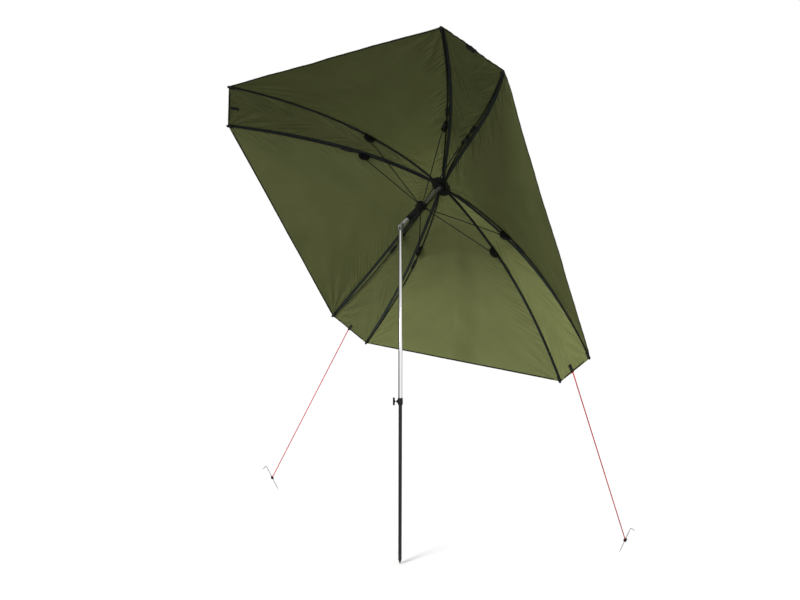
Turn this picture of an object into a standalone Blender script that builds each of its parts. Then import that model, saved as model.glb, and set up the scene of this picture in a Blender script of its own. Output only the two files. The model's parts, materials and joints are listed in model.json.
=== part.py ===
"""Fishing umbrella: a two-part pole with a spike, a tilting head on a short shaft, eight ribs in four
pairs with stretchers from a sliding runner, a canopy of eight sewn gores, and two guy lines with pegs.
Metres, +Z up, origin at the tip of the spike."""

import math

import bmesh
import bpy
from mathutils import Matrix, Vector

# Running and seating gap between neighbouring pieces
CLEAR = 0.0003

# Facets of round forms: flats in a full turn, or spans in a half-round outline
TUBE_SIDES = 24
SLEEVE_SIDES = 28
SPIKE_SIDES = 20
PIN_SIDES = 16
BAR_SIDES = 8
EYE_SIDES = 8
WIRE_SIDES = 6
RING_SIDES = 32
EAR_SPANS = 12
MOON_SPANS = 8
SMOOTH_ANGLE = 40
MERGE = 1e-7
SLOPE_STEP = 0.0005

# Pole
TILT_HEIGHT = 1.900
LOWER_TUBE_RADIUS = 0.0097
UPPER_TUBE_RADIUS = 0.0110
TUBE_WALL = 0.0010
SPIKE_LENGTH = 0.026
SPIKE_TIP_RADIUS = 0.0010
SPIKE_PLUG = 0.040
TUBE_OVERLAP = 0.120

# Height clamp, at the foot of the upper tube
COLLAR_BOTTOM = 0.930
COLLAR_LENGTH = 0.038
COLLAR_RADIUS = 0.0140
COLLAR_TAPER = 0.0020
SOCKET_DEPTH = 0.010
SCREW_HEIGHT = 0.0185
SCREW_RADIUS = 0.0025
SCREW_LENGTH = 0.026
BOSS_RADIUS = 0.0065
BOSS_REACH = 0.022
KNOB_REACH = 0.0305
KNOB_THICKNESS = 0.0095
KNOB_WIDTH = 0.009
KNOB_LENGTH = 0.042

# Tilt joint
TILT_ANGLE = 56.7
HEADING = 47.4
EAR_RADIUS = 0.0095
EAR_THICKNESS = 0.0047
TONGUE_THICKNESS = 0.0110
FORK_DEPTH = 0.018
SHOULDER = 0.004
FORK_PLUG = 0.030
PIN_RADIUS = 0.0025
PIN_HEAD_RADIUS = 0.0042
PIN_HEAD = 0.0016

# Head: shaft, hub and cap
SHAFT_LENGTH = 0.398
SHAFT_RADIUS = 0.0110
SHAFT_WALL = 0.0012
HUB_RADIUS = 0.028
HUB_DEPTH = 0.0115
HUB_RING_RADIUS = 0.022
RING_WIRE_RADIUS = 0.0010
LEAF_THICKNESS = 0.0020
SLOT_BEHIND_RING = 0.0055
CAP_RADIUS = 0.024
CAP_HEIGHT = 0.009
CAP_PLUG = 0.012
CAP_RIM_SHARE = 1 / 3
CAP_SHOULDER_AT = 0.72
CAP_SHOULDER_SHARE = 0.8
PATCH_RADIUS = 0.055
PATCH_THICKNESS = 0.0006

# Runner
CROWN_DROP = 0.196
CROWN_RADIUS = 0.029
CROWN_RING_RADIUS = 0.024
CROWN_TOP = 0.0045
CROWN_DEPTH = 0.007
CROWN_EDGE = 0.001
SLEEVE_LENGTH = 0.132
SLEEVE_RADIUS = 0.0165
SLEEVE_NECK_RADIUS = 0.0225
SLEEVE_NECK = 0.016
SLEEVE_NECK_LAND = 0.004
SLEEVE_EDGE = 0.0015
TRIGGER_AZIMUTH = 150.0
TRIGGER_DROP = 0.028
TRIGGER_LENGTH = 0.020
TRIGGER_WIDTH = 0.013
TRIGGER_OUT = 0.0265
TRIGGER_IN = 0.0155
TRIGGER_EDGE = 0.003

# Ribs: four pairs, the pairs a quarter turn apart
PAIR_COUNT = 4
PAIR_GAP = 14.3
RIB_REACH = 1.156
RIB_DROP = 0.467
RIB_CURVE = 1.84
INNER_SPANS = 4
OUTER_SPANS = 6
SPAN_MARGIN = 0.002
ROD_RADIUS = 0.0030
ROD_TIP_RADIUS = 0.0025
ROD_FITTING_RADIUS = 0.0044
ROD_FITTING_TOP = 0.0034
LEAF_HEIGHT = 0.0070
LEAF_TAPER = 0.004
LEAF_PAST_PIVOT = 0.004
RIB_LEAF_LENGTH = 0.014
FERRULE_AT = 0.590
FERRULE_LENGTH = 0.022
BEAD_LENGTH = 0.018
FITTING_TAPER = 0.003

# Rib joints and stretchers
JOINT_AT = 0.470
JOINT_RADIUS = 0.033
JOINT_THICKNESS = 0.014
JOINT_SLOT = 0.0036
SLEEVE_WALL = 0.0007
JOINT_PIN_RADIUS = 0.0012
PIVOT_BACK = 0.0096
PIVOT_DOWN = 0.0272
PIVOT_CLEAR = 0.0008
STRETCHER_RADIUS = 0.0025
STRETCHER_LEAF_HEIGHT = 0.0064
STRETCHER_INNER_LEAF = 0.012
STRETCHER_OUTER_LEAF = 0.040
STRETCHER_OUTER_TAPER = 0.006

# Canopy cloth and its seam tapes
CLOTH_THICKNESS = 0.0010
TAPE_THICKNESS = 0.0010
TAPE_WIDTH = 0.018
TAPE_SHARE = 0.6
CLOTH_HOLE_RADIUS = 0.0135

# Webbing on the short hems: name, rib it is sewn beside, side of that rib, distance from the middle
# of the hem, width, length on the cloth, length past the hem
HEM_TABS = (
    ("guy_tab_back", 2, -1, 0.022, 0.015, 0.036, 0.008),
    ("guy_tab_side", 8, -1, 0.009, 0.015, 0.044, 0.008),
    ("peg_tab_high", 3, 1, 0.011, 0.015, 0.030, 0.004),
    ("closing_strap", 5, 1, 0.013, 0.022, 0.038, 0.006),
)
TAB_THICKNESS = 0.0016

# Guy lines and pegs: name, its tab, foot of the peg, top of its shank, end of its hook
PEGS = (
    ("back", "guy_tab_back", (-0.880, 0.945, 0.004), (-0.978, 1.014, 0.153), (-0.998, 0.996, 0.138)),
    ("side", "guy_tab_side", (1.290, 0.125, 0.004), (1.353, 0.135, 0.147), (1.372, 0.128, 0.134)),
)
PEG_RADIUS = 0.0023
SLIDER_SHARE = 0.50
SLIDER_LENGTH = 0.022
SLIDER_WIDTH = 0.013
LINE_RADIUS = 0.0015
LINE_SEAT = 0.003
LINE_SEWN = 0.012
LINE_POINTS = 24

# Heights above a rib's centre line, from the rod outwards
PATCH_RISE = LEAF_HEIGHT / 2 + CLEAR
TAPE_RISE = PATCH_RISE + PATCH_THICKNESS + CLEAR
CLOTH_RISE = TAPE_RISE + TAPE_THICKNESS
CLOTH_TOP = CLOTH_RISE + CLOTH_THICKNESS

MATERIALS = {
    "black_tube": ((0.035, 0.036, 0.038), 0.35, 0.3),
    "silver_tube": ((0.82, 0.83, 0.84), 0.25, 1.0),
    "grey_metal": ((0.45, 0.44, 0.42), 0.35, 1.0),
    "steel": ((0.55, 0.55, 0.56), 0.3, 1.0),
    "black_plastic": ((0.02, 0.02, 0.022), 0.45, 0.0),
    "green_plastic": ((0.03, 0.07, 0.02), 0.4, 0.0),
    "rib_rod": ((0.02, 0.025, 0.022), 0.5, 0.0),
    "canopy_cloth": ((0.12, 0.13, 0.05), 0.8, 0.0),
    "webbing": ((0.02, 0.025, 0.02), 0.85, 0.0),
    "red_line": ((0.55, 0.03, 0.03), 0.7, 0.0),
}


def make_material(name):
    color, roughness, metallic = MATERIALS[name]
    material = bpy.data.materials.new(name)
    material.use_nodes = True
    shader = material.node_tree.nodes["Principled BSDF"]
    shader.inputs["Base Color"].default_value = (*color, 1.0)
    shader.inputs["Roughness"].default_value = roughness
    shader.inputs["Metallic"].default_value = metallic
    material.diffuse_color = (*color, 1.0)
    return material


def material_of(name):
    return bpy.data.materials.get(name) or make_material(name)


def add_object(name, data, parent=None):
    piece = bpy.data.objects.new(name, data)
    bpy.context.collection.objects.link(piece)
    piece.parent = parent
    return piece


def add_empty(name, parent=None, place=Matrix()):
    empty = add_object(name, None, parent)
    empty.matrix_local = place
    return empty


def to_mesh(name, form):
    """A mesh of the bmesh form, closed and facing out, shaded smooth up to the smooth angle."""
    bmesh.ops.remove_doubles(form, verts=form.verts, dist=MERGE)
    bmesh.ops.recalc_face_normals(form, faces=form.faces)
    mesh = bpy.data.meshes.new(name)
    form.to_mesh(mesh)
    form.free()
    mesh.shade_smooth()
    mesh.set_sharp_from_angle(angle=math.radians(SMOOTH_ANGLE))
    return mesh


def add_piece(name, form, material, parent=None, place=Matrix()):
    mesh = form if isinstance(form, bpy.types.Mesh) else to_mesh(name, form)
    if not mesh.materials:
        mesh.materials.append(material_of(material))
    piece = add_object(name, mesh, parent)
    piece.matrix_local = place
    return piece


def cut(piece, form, operation="DIFFERENCE"):
    """Cuts the form, given in the piece's own frame, out of the piece, or joins it on."""
    tool = add_object(piece.name + "_tool", to_mesh(piece.name + "_tool", form), piece)
    tool.hide_render = True
    tool.display_type = "WIRE"
    boolean = piece.modifiers.new(operation.title(), "BOOLEAN")
    boolean.operation = operation
    boolean.solver = "EXACT"
    boolean.object = tool


def turned(profile, sides, place=Matrix()):
    """A body turned about Z from a closed outline of (radius, height) points."""
    form = bmesh.new()
    corners = [form.verts.new((radius, 0, height)) for radius, height in profile]
    edges = [form.edges.new((a, b)) for a, b in zip(corners, corners[1:] + corners[:1])]
    bmesh.ops.spin(
        form, geom=corners + edges, cent=(0, 0, 0), axis=(0, 0, 1),
        angle=math.tau, steps=sides, use_merge=True, use_duplicate=False,
    )
    bmesh.ops.dissolve_degenerate(form, edges=form.edges, dist=MERGE / 10)
    form.transform(place)
    return form


def tube(outer, inner, bottom, top, sides=TUBE_SIDES, place=Matrix()):
    return turned([(inner, bottom), (outer, bottom), (outer, top), (inner, top)], sides, place)


def rod(radius, bottom, top, sides=PIN_SIDES, place=Matrix()):
    form = bmesh.new()
    middle = Matrix.Translation((0, 0, (bottom + top) / 2))
    bmesh.ops.create_cone(
        form, cap_ends=True, segments=sides, radius1=radius, radius2=radius,
        depth=top - bottom, matrix=place @ middle,
    )
    return form


def box(low, high, place=Matrix()):
    form = bmesh.new()
    size = Matrix.Diagonal([b - a for a, b in zip(low, high)] + [1])
    middle = Matrix.Translation([(a + b) / 2 for a, b in zip(low, high)])
    bmesh.ops.create_cube(form, size=1, matrix=place @ middle @ size)
    return form


def joined(*forms):
    """One bmesh holding several separate bodies, for use as a cutter."""
    whole = bmesh.new()
    for form in forms:
        part = bpy.data.meshes.new("part")
        form.to_mesh(part)
        form.free()
        whole.from_mesh(part)
        bpy.data.meshes.remove(part)
    return whole


def lofted(rings):
    """A closed body through rings of points, capped at both ends."""
    form = bmesh.new()
    loops = [[form.verts.new(point) for point in ring] for ring in rings]
    for near, far in zip(loops, loops[1:]):
        for i in range(len(near)):
            j = (i + 1) % len(near)
            form.faces.new((near[i], near[j], far[j], far[i]))
    form.faces.new(loops[0])
    form.faces.new(reversed(loops[-1]))
    return form


def ear(near, far, foot):
    """A plate from y near to y far, round about the origin and straight down or up to its foot."""
    away = -1 if foot > 0 else 1
    outline = [(EAR_RADIUS, foot), (-EAR_RADIUS, foot)]
    for i in range(EAR_SPANS + 1):
        angle = math.pi * (1 - i / EAR_SPANS)
        outline.append((EAR_RADIUS * math.cos(angle), away * EAR_RADIUS * math.sin(angle)))
    return lofted([[Vector((x, y, z)) for x, z in outline] for y in (near, far)])


def turn(degrees, axis):
    return Matrix.Rotation(math.radians(degrees), 4, axis)


# Lines in the plane of a rib: r out from the shaft, z up along it, from the centre of the hub


def rib_depth(r):
    return RIB_DROP * (r / RIB_REACH) ** RIB_CURVE


def evenly(start, end, spans):
    return [start + (end - start) * i / spans for i in range(spans + 1)]


def across_panel(radius):
    """How far out on the ribs the straight cloth starts that reaches the radius in a wide panel."""
    return radius / math.cos(math.radians(360 / PAIR_COUNT - PAIR_GAP) / 2)


def hub_top():
    """The hub stays under the tapes, which dip as they leave it."""
    return TAPE_RISE - CLEAR + on_rib(across_panel(HUB_RADIUS)).z


def rib_stations():
    """Where the rib and its cloth bend. Each fitting on the rod lies within one straight span."""
    joint = JOINT_RADIUS + SPAN_MARGIN
    ferrule = FERRULE_LENGTH / 2 + SPAN_MARGIN
    inner = evenly(across_panel(PATCH_RADIUS), JOINT_AT - joint, INNER_SPANS)
    outer = evenly(FERRULE_AT + ferrule, RIB_REACH, OUTER_SPANS)
    between = [JOINT_AT + joint, FERRULE_AT - ferrule]
    return sorted([HUB_RADIUS + SPAN_MARGIN, PATCH_RADIUS] + inner + between + outer)


def on_rib(r):
    """The rib's centre line, straight between its stations."""
    stations = rib_stations()
    if r <= stations[0]:
        return Vector((r, 0, -rib_depth(r)))
    for a, b in zip(stations, stations[1:]):
        if r <= b or b == stations[-1]:
            share = (r - a) / (b - a)
            return Vector((r, 0, -rib_depth(a) * (1 - share) - rib_depth(b) * share))


def rib_slope(r):
    """Angle below level of the rib at r, taken across the station there."""
    ahead = on_rib(r + SLOPE_STEP) - on_rib(r - SLOPE_STEP)
    return math.atan2(-ahead.z, ahead.x)


def above_rib(r, rise):
    """A point at a height above the rib, square to it. The rise is kept on both sides of a bend."""
    slope = rib_slope(r)
    return on_rib(r) + Vector((math.sin(slope), 0, math.cos(slope))) * rise


def section(centre, slope, half_width, half_height, sides=BAR_SIDES):
    """An oval ring of points across a rod, or for a leaf a nearly square one."""
    up = Vector((math.sin(slope), 0, math.cos(slope)))
    across = Vector((0, 1, 0))
    ring = []
    for i in range(sides):
        angle = math.tau * (i + 0.5) / sides
        grow = 1 / math.cos(math.pi / sides)
        ring.append(
            centre
            + across * half_width * math.cos(angle) * grow
            + up * half_height * math.sin(angle) * grow
        )
    return ring


# Pole


def make_lower_pole():
    spike = [
        (0, 0), (SPIKE_TIP_RADIUS, 0), (LOWER_TUBE_RADIUS, SPIKE_LENGTH),
        (LOWER_TUBE_RADIUS - TUBE_WALL - CLEAR, SPIKE_LENGTH),
        (LOWER_TUBE_RADIUS - TUBE_WALL - CLEAR, SPIKE_LENGTH + SPIKE_PLUG),
        (0, SPIKE_LENGTH + SPIKE_PLUG),
    ]
    add_piece("spike_tip", turned(spike, SPIKE_SIDES), "black_tube")
    top = COLLAR_BOTTOM + TUBE_OVERLAP
    inner = LOWER_TUBE_RADIUS - TUBE_WALL
    add_piece("lower_tube", tube(LOWER_TUBE_RADIUS, inner, SPIKE_LENGTH + CLEAR, top), "black_tube")


def make_upper_pole():
    socket_floor = COLLAR_BOTTOM + COLLAR_LENGTH - SOCKET_DEPTH
    fork_floor = TILT_HEIGHT - FORK_DEPTH
    tube_top = fork_floor - SHOULDER - CLEAR
    inner = UPPER_TUBE_RADIUS - TUBE_WALL
    form = tube(UPPER_TUBE_RADIUS, inner, socket_floor + CLEAR, tube_top)
    add_piece("upper_tube", form, "silver_tube")

    collar_top = COLLAR_BOTTOM + COLLAR_LENGTH
    guide = LOWER_TUBE_RADIUS + CLEAR
    socket = UPPER_TUBE_RADIUS + CLEAR
    collar = turned(
        [
            (guide, COLLAR_BOTTOM), (COLLAR_RADIUS - COLLAR_TAPER, COLLAR_BOTTOM),
            (COLLAR_RADIUS, COLLAR_BOTTOM + 2 * COLLAR_TAPER), (COLLAR_RADIUS, collar_top),
            (socket, collar_top), (socket, socket_floor), (guide, socket_floor),
        ],
        TUBE_SIDES,
    )
    collar = add_piece("clamp_collar", collar, "black_plastic")
    along_screw = Matrix.Translation((0, 0, COLLAR_BOTTOM + SCREW_HEIGHT)) @ turn(-90, "Y")
    boss_start = (guide + COLLAR_RADIUS) / 2
    cut(collar, rod(BOSS_RADIUS, boss_start, BOSS_REACH, SPIKE_SIDES, along_screw), "UNION")
    screw_hole = rod(SCREW_RADIUS + CLEAR, boss_start / 2, 2 * BOSS_REACH, PIN_SIDES, along_screw)
    cut(collar, screw_hole)

    heading = add_empty("tilt_post", None, Matrix.Translation((0, 0, TILT_HEIGHT)) @ turn(HEADING, "Z"))
    plug = turned(
        [
            (0, -FORK_DEPTH - SHOULDER - FORK_PLUG), (inner - CLEAR, -FORK_DEPTH - SHOULDER - FORK_PLUG),
            (inner - CLEAR, -FORK_DEPTH - SHOULDER), (UPPER_TUBE_RADIUS, -FORK_DEPTH - SHOULDER),
            (UPPER_TUBE_RADIUS, -FORK_DEPTH), (0, -FORK_DEPTH),
        ],
        TUBE_SIDES,
    )
    fork = add_piece("tilt_fork", plug, "grey_metal", heading)
    ear_in = TONGUE_THICKNESS / 2 + CLEAR
    ear_out = ear_in + EAR_THICKNESS
    across = turn(-90, "X")
    for side in (1, -1):
        near, far = sorted((side * ear_in, side * ear_out))
        cut(fork, ear(near, far, -FORK_DEPTH - SHOULDER / 2), "UNION")
    cut(fork, rod(PIN_RADIUS + CLEAR, -2 * ear_out, 2 * ear_out, PIN_SIDES, across))
    head = ear_out + CLEAR
    pin = [
        (0, -head - PIN_HEAD), (PIN_HEAD_RADIUS, -head - PIN_HEAD), (PIN_HEAD_RADIUS, -head),
        (PIN_RADIUS, -head), (PIN_RADIUS, head), (PIN_HEAD_RADIUS, head),
        (PIN_HEAD_RADIUS, head + PIN_HEAD), (0, head + PIN_HEAD),
    ]
    add_piece("tilt_pin", turned(pin, PIN_SIDES, across), "steel", heading)


def make_clamp_screw():
    axis = Matrix.Translation((0, 0, COLLAR_BOTTOM + SCREW_HEIGHT)) @ turn(-90, "Y")
    screw_axis = add_empty("screw_axis", None, axis)
    start = LOWER_TUBE_RADIUS + CLEAR
    add_piece("clamp_screw", rod(SCREW_RADIUS, start, start + SCREW_LENGTH), "steel", screw_axis)
    low = (-KNOB_LENGTH / 2, -KNOB_WIDTH / 2, KNOB_REACH)
    high = (KNOB_LENGTH / 2, KNOB_WIDTH / 2, KNOB_REACH + KNOB_THICKNESS)
    wing = box(low, high)
    bmesh.ops.bevel(
        wing, geom=wing.edges, offset=KNOB_THICKNESS / 5, segments=2, affect="EDGES", profile=0.5
    )
    knob = add_piece("wing_knob", wing, "black_plastic", screw_axis)
    cut(knob, rod(SCREW_RADIUS + CLEAR, BOSS_REACH, start + SCREW_LENGTH + CLEAR))


# Head


def make_head(head):
    bore = SHAFT_RADIUS - SHAFT_WALL
    shoulder_top = FORK_DEPTH + 2 * CLEAR + SHOULDER
    tongue = turned(
        [
            (0, FORK_DEPTH + 2 * CLEAR), (SHAFT_RADIUS, FORK_DEPTH + 2 * CLEAR),
            (SHAFT_RADIUS, shoulder_top), (bore - CLEAR, shoulder_top),
            (bore - CLEAR, shoulder_top + FORK_PLUG), (0, shoulder_top + FORK_PLUG),
        ],
        TUBE_SIDES,
    )
    tongue = add_piece("tilt_tongue", tongue, "grey_metal", head)
    half = TONGUE_THICKNESS / 2
    across = turn(-90, "X")
    cut(tongue, ear(-half, half, shoulder_top - SHOULDER / 2), "UNION")
    cut(tongue, rod(PIN_RADIUS + CLEAR, -2 * half, 2 * half, PIN_SIDES, across))

    form = tube(SHAFT_RADIUS, bore, shoulder_top + CLEAR, SHAFT_LENGTH + hub_top())
    add_piece("shaft_tube", form, "grey_metal", head)

    at_hub = Matrix.Translation((0, 0, SHAFT_LENGTH))
    form = tube(HUB_RADIUS, SHAFT_RADIUS + CLEAR, -HUB_DEPTH, hub_top(), RING_SIDES)
    hub = add_piece("hub", form, "black_plastic", head, at_hub)
    cut(hub, leaf_slots(HUB_RING_RADIUS, HUB_RADIUS))
    cut(hub, ring_groove(HUB_RING_RADIUS, hub_top()))
    add_piece("hub_ring", ring_wire(HUB_RING_RADIUS), "steel", head, at_hub)

    under_cap = CLOTH_TOP + CLEAR
    cap = turned(
        [
            (0, hub_top() - CAP_PLUG), (bore - CLEAR, hub_top() - CAP_PLUG), (bore - CLEAR, under_cap),
            (CAP_RADIUS, under_cap), (CAP_RADIUS, under_cap + CAP_HEIGHT * CAP_RIM_SHARE),
            (CAP_RADIUS * CAP_SHOULDER_AT, under_cap + CAP_HEIGHT * CAP_SHOULDER_SHARE),
            (0, under_cap + CAP_HEIGHT),
        ],
        TUBE_SIDES,
    )
    add_piece("top_cap", cap, "black_plastic", head, at_hub)

    inner = above_rib(HUB_RADIUS + SPAN_MARGIN, PATCH_RISE)
    outer = above_rib(PATCH_RADIUS, ROD_RADIUS + CLEAR)
    lift = Vector((0, 0, PATCH_THICKNESS))
    outline = [(p.x, p.z) for p in (inner, outer, outer + lift, inner + lift)]
    add_piece("apex_patch", turned(outline, RING_SIDES), "canopy_cloth", head, at_hub)


def leaf_slots(ring_radius, rim):
    """Eight radial slots for the leaves of the rods, as one cutter."""
    half = LEAF_THICKNESS / 2 + CLEAR
    low = (ring_radius - SLOT_BEHIND_RING, -half, -rim)
    return joined(*[box(low, (2 * rim, half, rim), turn(a, "Z")) for a in rib_azimuths()])


def ring_groove(ring_radius, top):
    half = RING_WIRE_RADIUS + CLEAR
    return tube(ring_radius + half, ring_radius - half, -half, 2 * top, RING_SIDES)


def ring_wire(ring_radius):
    outline = [
        (ring_radius + RING_WIRE_RADIUS * math.cos(a), RING_WIRE_RADIUS * math.sin(a))
        for a in (math.tau * i / WIRE_SIDES for i in range(WIRE_SIDES))
    ]
    return turned(outline, RING_SIDES)


# Runner


def make_runner(head):
    crown_frame = add_empty("runner_slide", head, Matrix.Translation((0, 0, SHAFT_LENGTH - CROWN_DROP)))
    bore = SHAFT_RADIUS + CLEAR
    crown = turned(
        [
            (bore, -CROWN_DEPTH), (CROWN_RADIUS - 2 * CROWN_EDGE, -CROWN_DEPTH),
            (CROWN_RADIUS, -CROWN_DEPTH + 2 * CROWN_EDGE), (CROWN_RADIUS, CROWN_TOP - CROWN_EDGE),
            (CROWN_RADIUS - CROWN_EDGE, CROWN_TOP), (bore, CROWN_TOP),
        ],
        RING_SIDES,
    )
    crown = add_piece("runner_crown", crown, "black_plastic", crown_frame)
    cut(crown, leaf_slots(CROWN_RING_RADIUS, CROWN_RADIUS))
    cut(crown, ring_groove(CROWN_RING_RADIUS, CROWN_TOP))
    add_piece("runner_ring", ring_wire(CROWN_RING_RADIUS), "steel", crown_frame)

    top = -CROWN_DEPTH - CLEAR
    sleeve = turned(
        [
            (bore, top), (bore, top - SLEEVE_LENGTH), (SLEEVE_RADIUS - SLEEVE_EDGE, top - SLEEVE_LENGTH),
            (SLEEVE_RADIUS, top - SLEEVE_LENGTH + SLEEVE_EDGE), (SLEEVE_RADIUS, top - SLEEVE_NECK),
            (SLEEVE_NECK_RADIUS, top - SLEEVE_NECK_LAND), (SLEEVE_NECK_RADIUS, top),
        ],
        SLEEVE_SIDES,
    )
    sleeve = add_piece("runner_sleeve", sleeve, "black_plastic", crown_frame)
    trigger_frame = add_empty("trigger_axis", crown_frame, turn(TRIGGER_AZIMUTH, "Z"))
    half_width = TRIGGER_WIDTH / 2 + CLEAR
    half_length = TRIGGER_LENGTH / 2 + CLEAR
    low = (SHAFT_RADIUS * 0.7, -half_width, -TRIGGER_DROP - half_length)
    high = (2 * TRIGGER_OUT, half_width, -TRIGGER_DROP + half_length)
    cut(sleeve, box(low, high, turn(TRIGGER_AZIMUTH, "Z")))
    low = (TRIGGER_IN, -TRIGGER_WIDTH / 2, -TRIGGER_DROP - TRIGGER_LENGTH / 2)
    high = (TRIGGER_OUT, TRIGGER_WIDTH / 2, -TRIGGER_DROP + TRIGGER_LENGTH / 2)
    trigger = box(low, high)
    front = [e for e in trigger.edges if all(v.co.x > (TRIGGER_IN + TRIGGER_OUT) / 2 for v in e.verts)]
    bmesh.ops.bevel(trigger, geom=front, offset=TRIGGER_EDGE, segments=2, affect="EDGES", profile=0.5)
    add_piece("runner_trigger", trigger, "green_plastic", trigger_frame)
    return crown_frame


# Ribs


def rib_azimuths():
    """Ribs 1 to 8, from the side of the pole round towards the left as the canopy is seen from below."""
    quarter = 360 / PAIR_COUNT
    middles = [quarter * (i + 0.5) for i in range(PAIR_COUNT)]
    return [middle + side * PAIR_GAP / 2 for middle in middles for side in (-1, 1)]


def rib_mesh():
    """The rib in its hinge's frame: a leaf with an eye, a rod, a ferrule, a thinner rod and a bead."""
    leaf_end = HUB_RING_RADIUS + RIB_LEAF_LENGTH
    half_leaf = LEAF_THICKNESS / 2
    joint = FERRULE_LENGTH / 2
    widths = [
        (HUB_RING_RADIUS - LEAF_PAST_PIVOT, half_leaf, LEAF_HEIGHT / 2),
        (leaf_end - LEAF_TAPER, half_leaf, LEAF_HEIGHT / 2),
        (leaf_end, ROD_RADIUS, ROD_RADIUS),
    ]
    for r in rib_stations()[1:-1]:
        size = ROD_RADIUS if r < FERRULE_AT else ROD_TIP_RADIUS
        widths.append((r, size, size))
    widths += [
        (FERRULE_AT - joint - SPAN_MARGIN, ROD_RADIUS, ROD_RADIUS),
        (FERRULE_AT - joint, ROD_FITTING_RADIUS, ROD_FITTING_RADIUS),
        (FERRULE_AT + joint - FITTING_TAPER, ROD_FITTING_RADIUS, ROD_FITTING_RADIUS),
        (FERRULE_AT + joint, ROD_TIP_RADIUS, ROD_TIP_RADIUS),
        (RIB_REACH - BEAD_LENGTH, ROD_TIP_RADIUS, ROD_TIP_RADIUS),
        (RIB_REACH - BEAD_LENGTH + FITTING_TAPER, ROD_FITTING_RADIUS, ROD_FITTING_RADIUS),
        (RIB_REACH, ROD_FITTING_RADIUS, ROD_FITTING_RADIUS),
        (RIB_REACH + FITTING_TAPER, ROD_TIP_RADIUS, ROD_TIP_RADIUS),
    ]
    hinge = Vector((HUB_RING_RADIUS, 0, 0))
    rings = []
    for r, half_width, half_height in sorted(widths):
        slope = rib_slope(r) if r > leaf_end else 0
        hang = max(half_height - ROD_FITTING_TOP, 0) if r > leaf_end else 0
        rings.append(section(above_rib(r, -hang) - hinge, slope, half_width, half_height))
    return to_mesh("rib", lofted(rings))


def joint_place():
    """The rib joint's own frame: on the rib's centre line, x along the rod."""
    hinge = Vector((HUB_RING_RADIUS, 0, 0))
    slope = math.degrees(rib_slope(JOINT_AT))
    return Matrix.Translation(on_rib(JOINT_AT) - hinge) @ turn(slope, "Y")


def joint_mesh():
    """A half-moon housing that hangs from the rod, before its bore and slot are cut."""
    half = JOINT_THICKNESS / 2
    outline = [(-JOINT_RADIUS, 0), (JOINT_RADIUS, 0)]
    for i in range(MOON_SPANS + 1):
        angle = -math.pi * i / MOON_SPANS
        outline.append((JOINT_RADIUS * math.cos(angle), JOINT_RADIUS * math.sin(angle) - ROD_RADIUS))
    rings = [[Vector((x, y, z)) for x, z in outline] for y in (-half, half)]
    return to_mesh("rib_joint", lofted(rings))


def add_joint(name, mesh, rib_frame):
    joint = add_piece(name, mesh, "black_plastic", rib_frame, joint_place())
    sleeve_end = Vector((JOINT_RADIUS - SPAN_MARGIN, 0, 0))
    top = ROD_RADIUS + CLEAR + SLEEVE_WALL
    ends = [section(end, 0, top + SLEEVE_WALL, top) for end in (-sleeve_end, sleeve_end)]
    cut(joint, lofted(ends), "UNION")
    along = turn(90, "Y")
    cut(joint, rod(ROD_RADIUS + CLEAR, -2 * JOINT_RADIUS, 2 * JOINT_RADIUS, PIN_SIDES, along))
    half = JOINT_SLOT / 2
    low = (-2 * JOINT_RADIUS, -half, -2 * JOINT_RADIUS)
    high = (-PIVOT_BACK + STRETCHER_LEAF_HEIGHT, half, -PIVOT_DOWN + 2 * STRETCHER_LEAF_HEIGHT)
    cut(joint, box(low, high))
    pin_place = Matrix.Translation((-PIVOT_BACK, 0, -PIVOT_DOWN)) @ turn(-90, "X")
    reach = JOINT_THICKNESS / 3
    cut(joint, rod(JOINT_PIN_RADIUS, -reach, reach, EYE_SIDES, pin_place), "UNION")


def stretcher_ends():
    """The stretcher's inner and outer pivots in the plane of its rib, from the centre of the hub."""
    inner = Vector((CROWN_RING_RADIUS, 0, -CROWN_DROP))
    pivot = Vector((-PIVOT_BACK, 0, -PIVOT_DOWN))
    outer = joint_place() @ pivot + Vector((HUB_RING_RADIUS, 0, 0))
    return inner, outer


def stretcher_mesh(length):
    """A straight rod along X with a leaf at each end, from pivot to pivot."""
    half_leaf = LEAF_THICKNESS / 2
    tall = STRETCHER_LEAF_HEIGHT / 2
    widths = [
        (-LEAF_PAST_PIVOT, half_leaf, tall),
        (STRETCHER_INNER_LEAF - LEAF_TAPER, half_leaf, tall),
        (STRETCHER_INNER_LEAF, STRETCHER_RADIUS, STRETCHER_RADIUS),
        (length - STRETCHER_OUTER_LEAF, STRETCHER_RADIUS, STRETCHER_RADIUS),
        (length - STRETCHER_OUTER_LEAF + STRETCHER_OUTER_TAPER, half_leaf, tall),
        (length + LEAF_PAST_PIVOT, half_leaf, tall),
    ]
    rings = [section(Vector((x, 0, 0)), 0, wide, high) for x, wide, high in widths]
    return to_mesh("stretcher", lofted(rings))


def add_stretcher(name, mesh, length, frame):
    stretcher = add_piece(name, mesh, "rib_rod", frame)
    across = turn(-90, "X")
    at_end = Matrix.Translation((length, 0, 0)) @ across
    reach = 2 * LEAF_THICKNESS
    eye = rod(RING_WIRE_RADIUS + CLEAR, -reach, reach, EYE_SIDES, across)
    far_eye = rod(JOINT_PIN_RADIUS + PIVOT_CLEAR, -reach, reach, EYE_SIDES, at_end)
    cut(stretcher, joined(eye, far_eye))


# Canopy


def toward_neighbour(r, rise, turn_to_next):
    """Unit vector along the straight cloth from the rib to the next one, and half its length."""
    own = above_rib(r, rise)
    angle = math.radians(turn_to_next)
    other = Vector((own.x * math.cos(angle), own.x * math.sin(angle), own.z))
    chord = other - own
    return own, chord.normalized(), chord.length / 2


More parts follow.
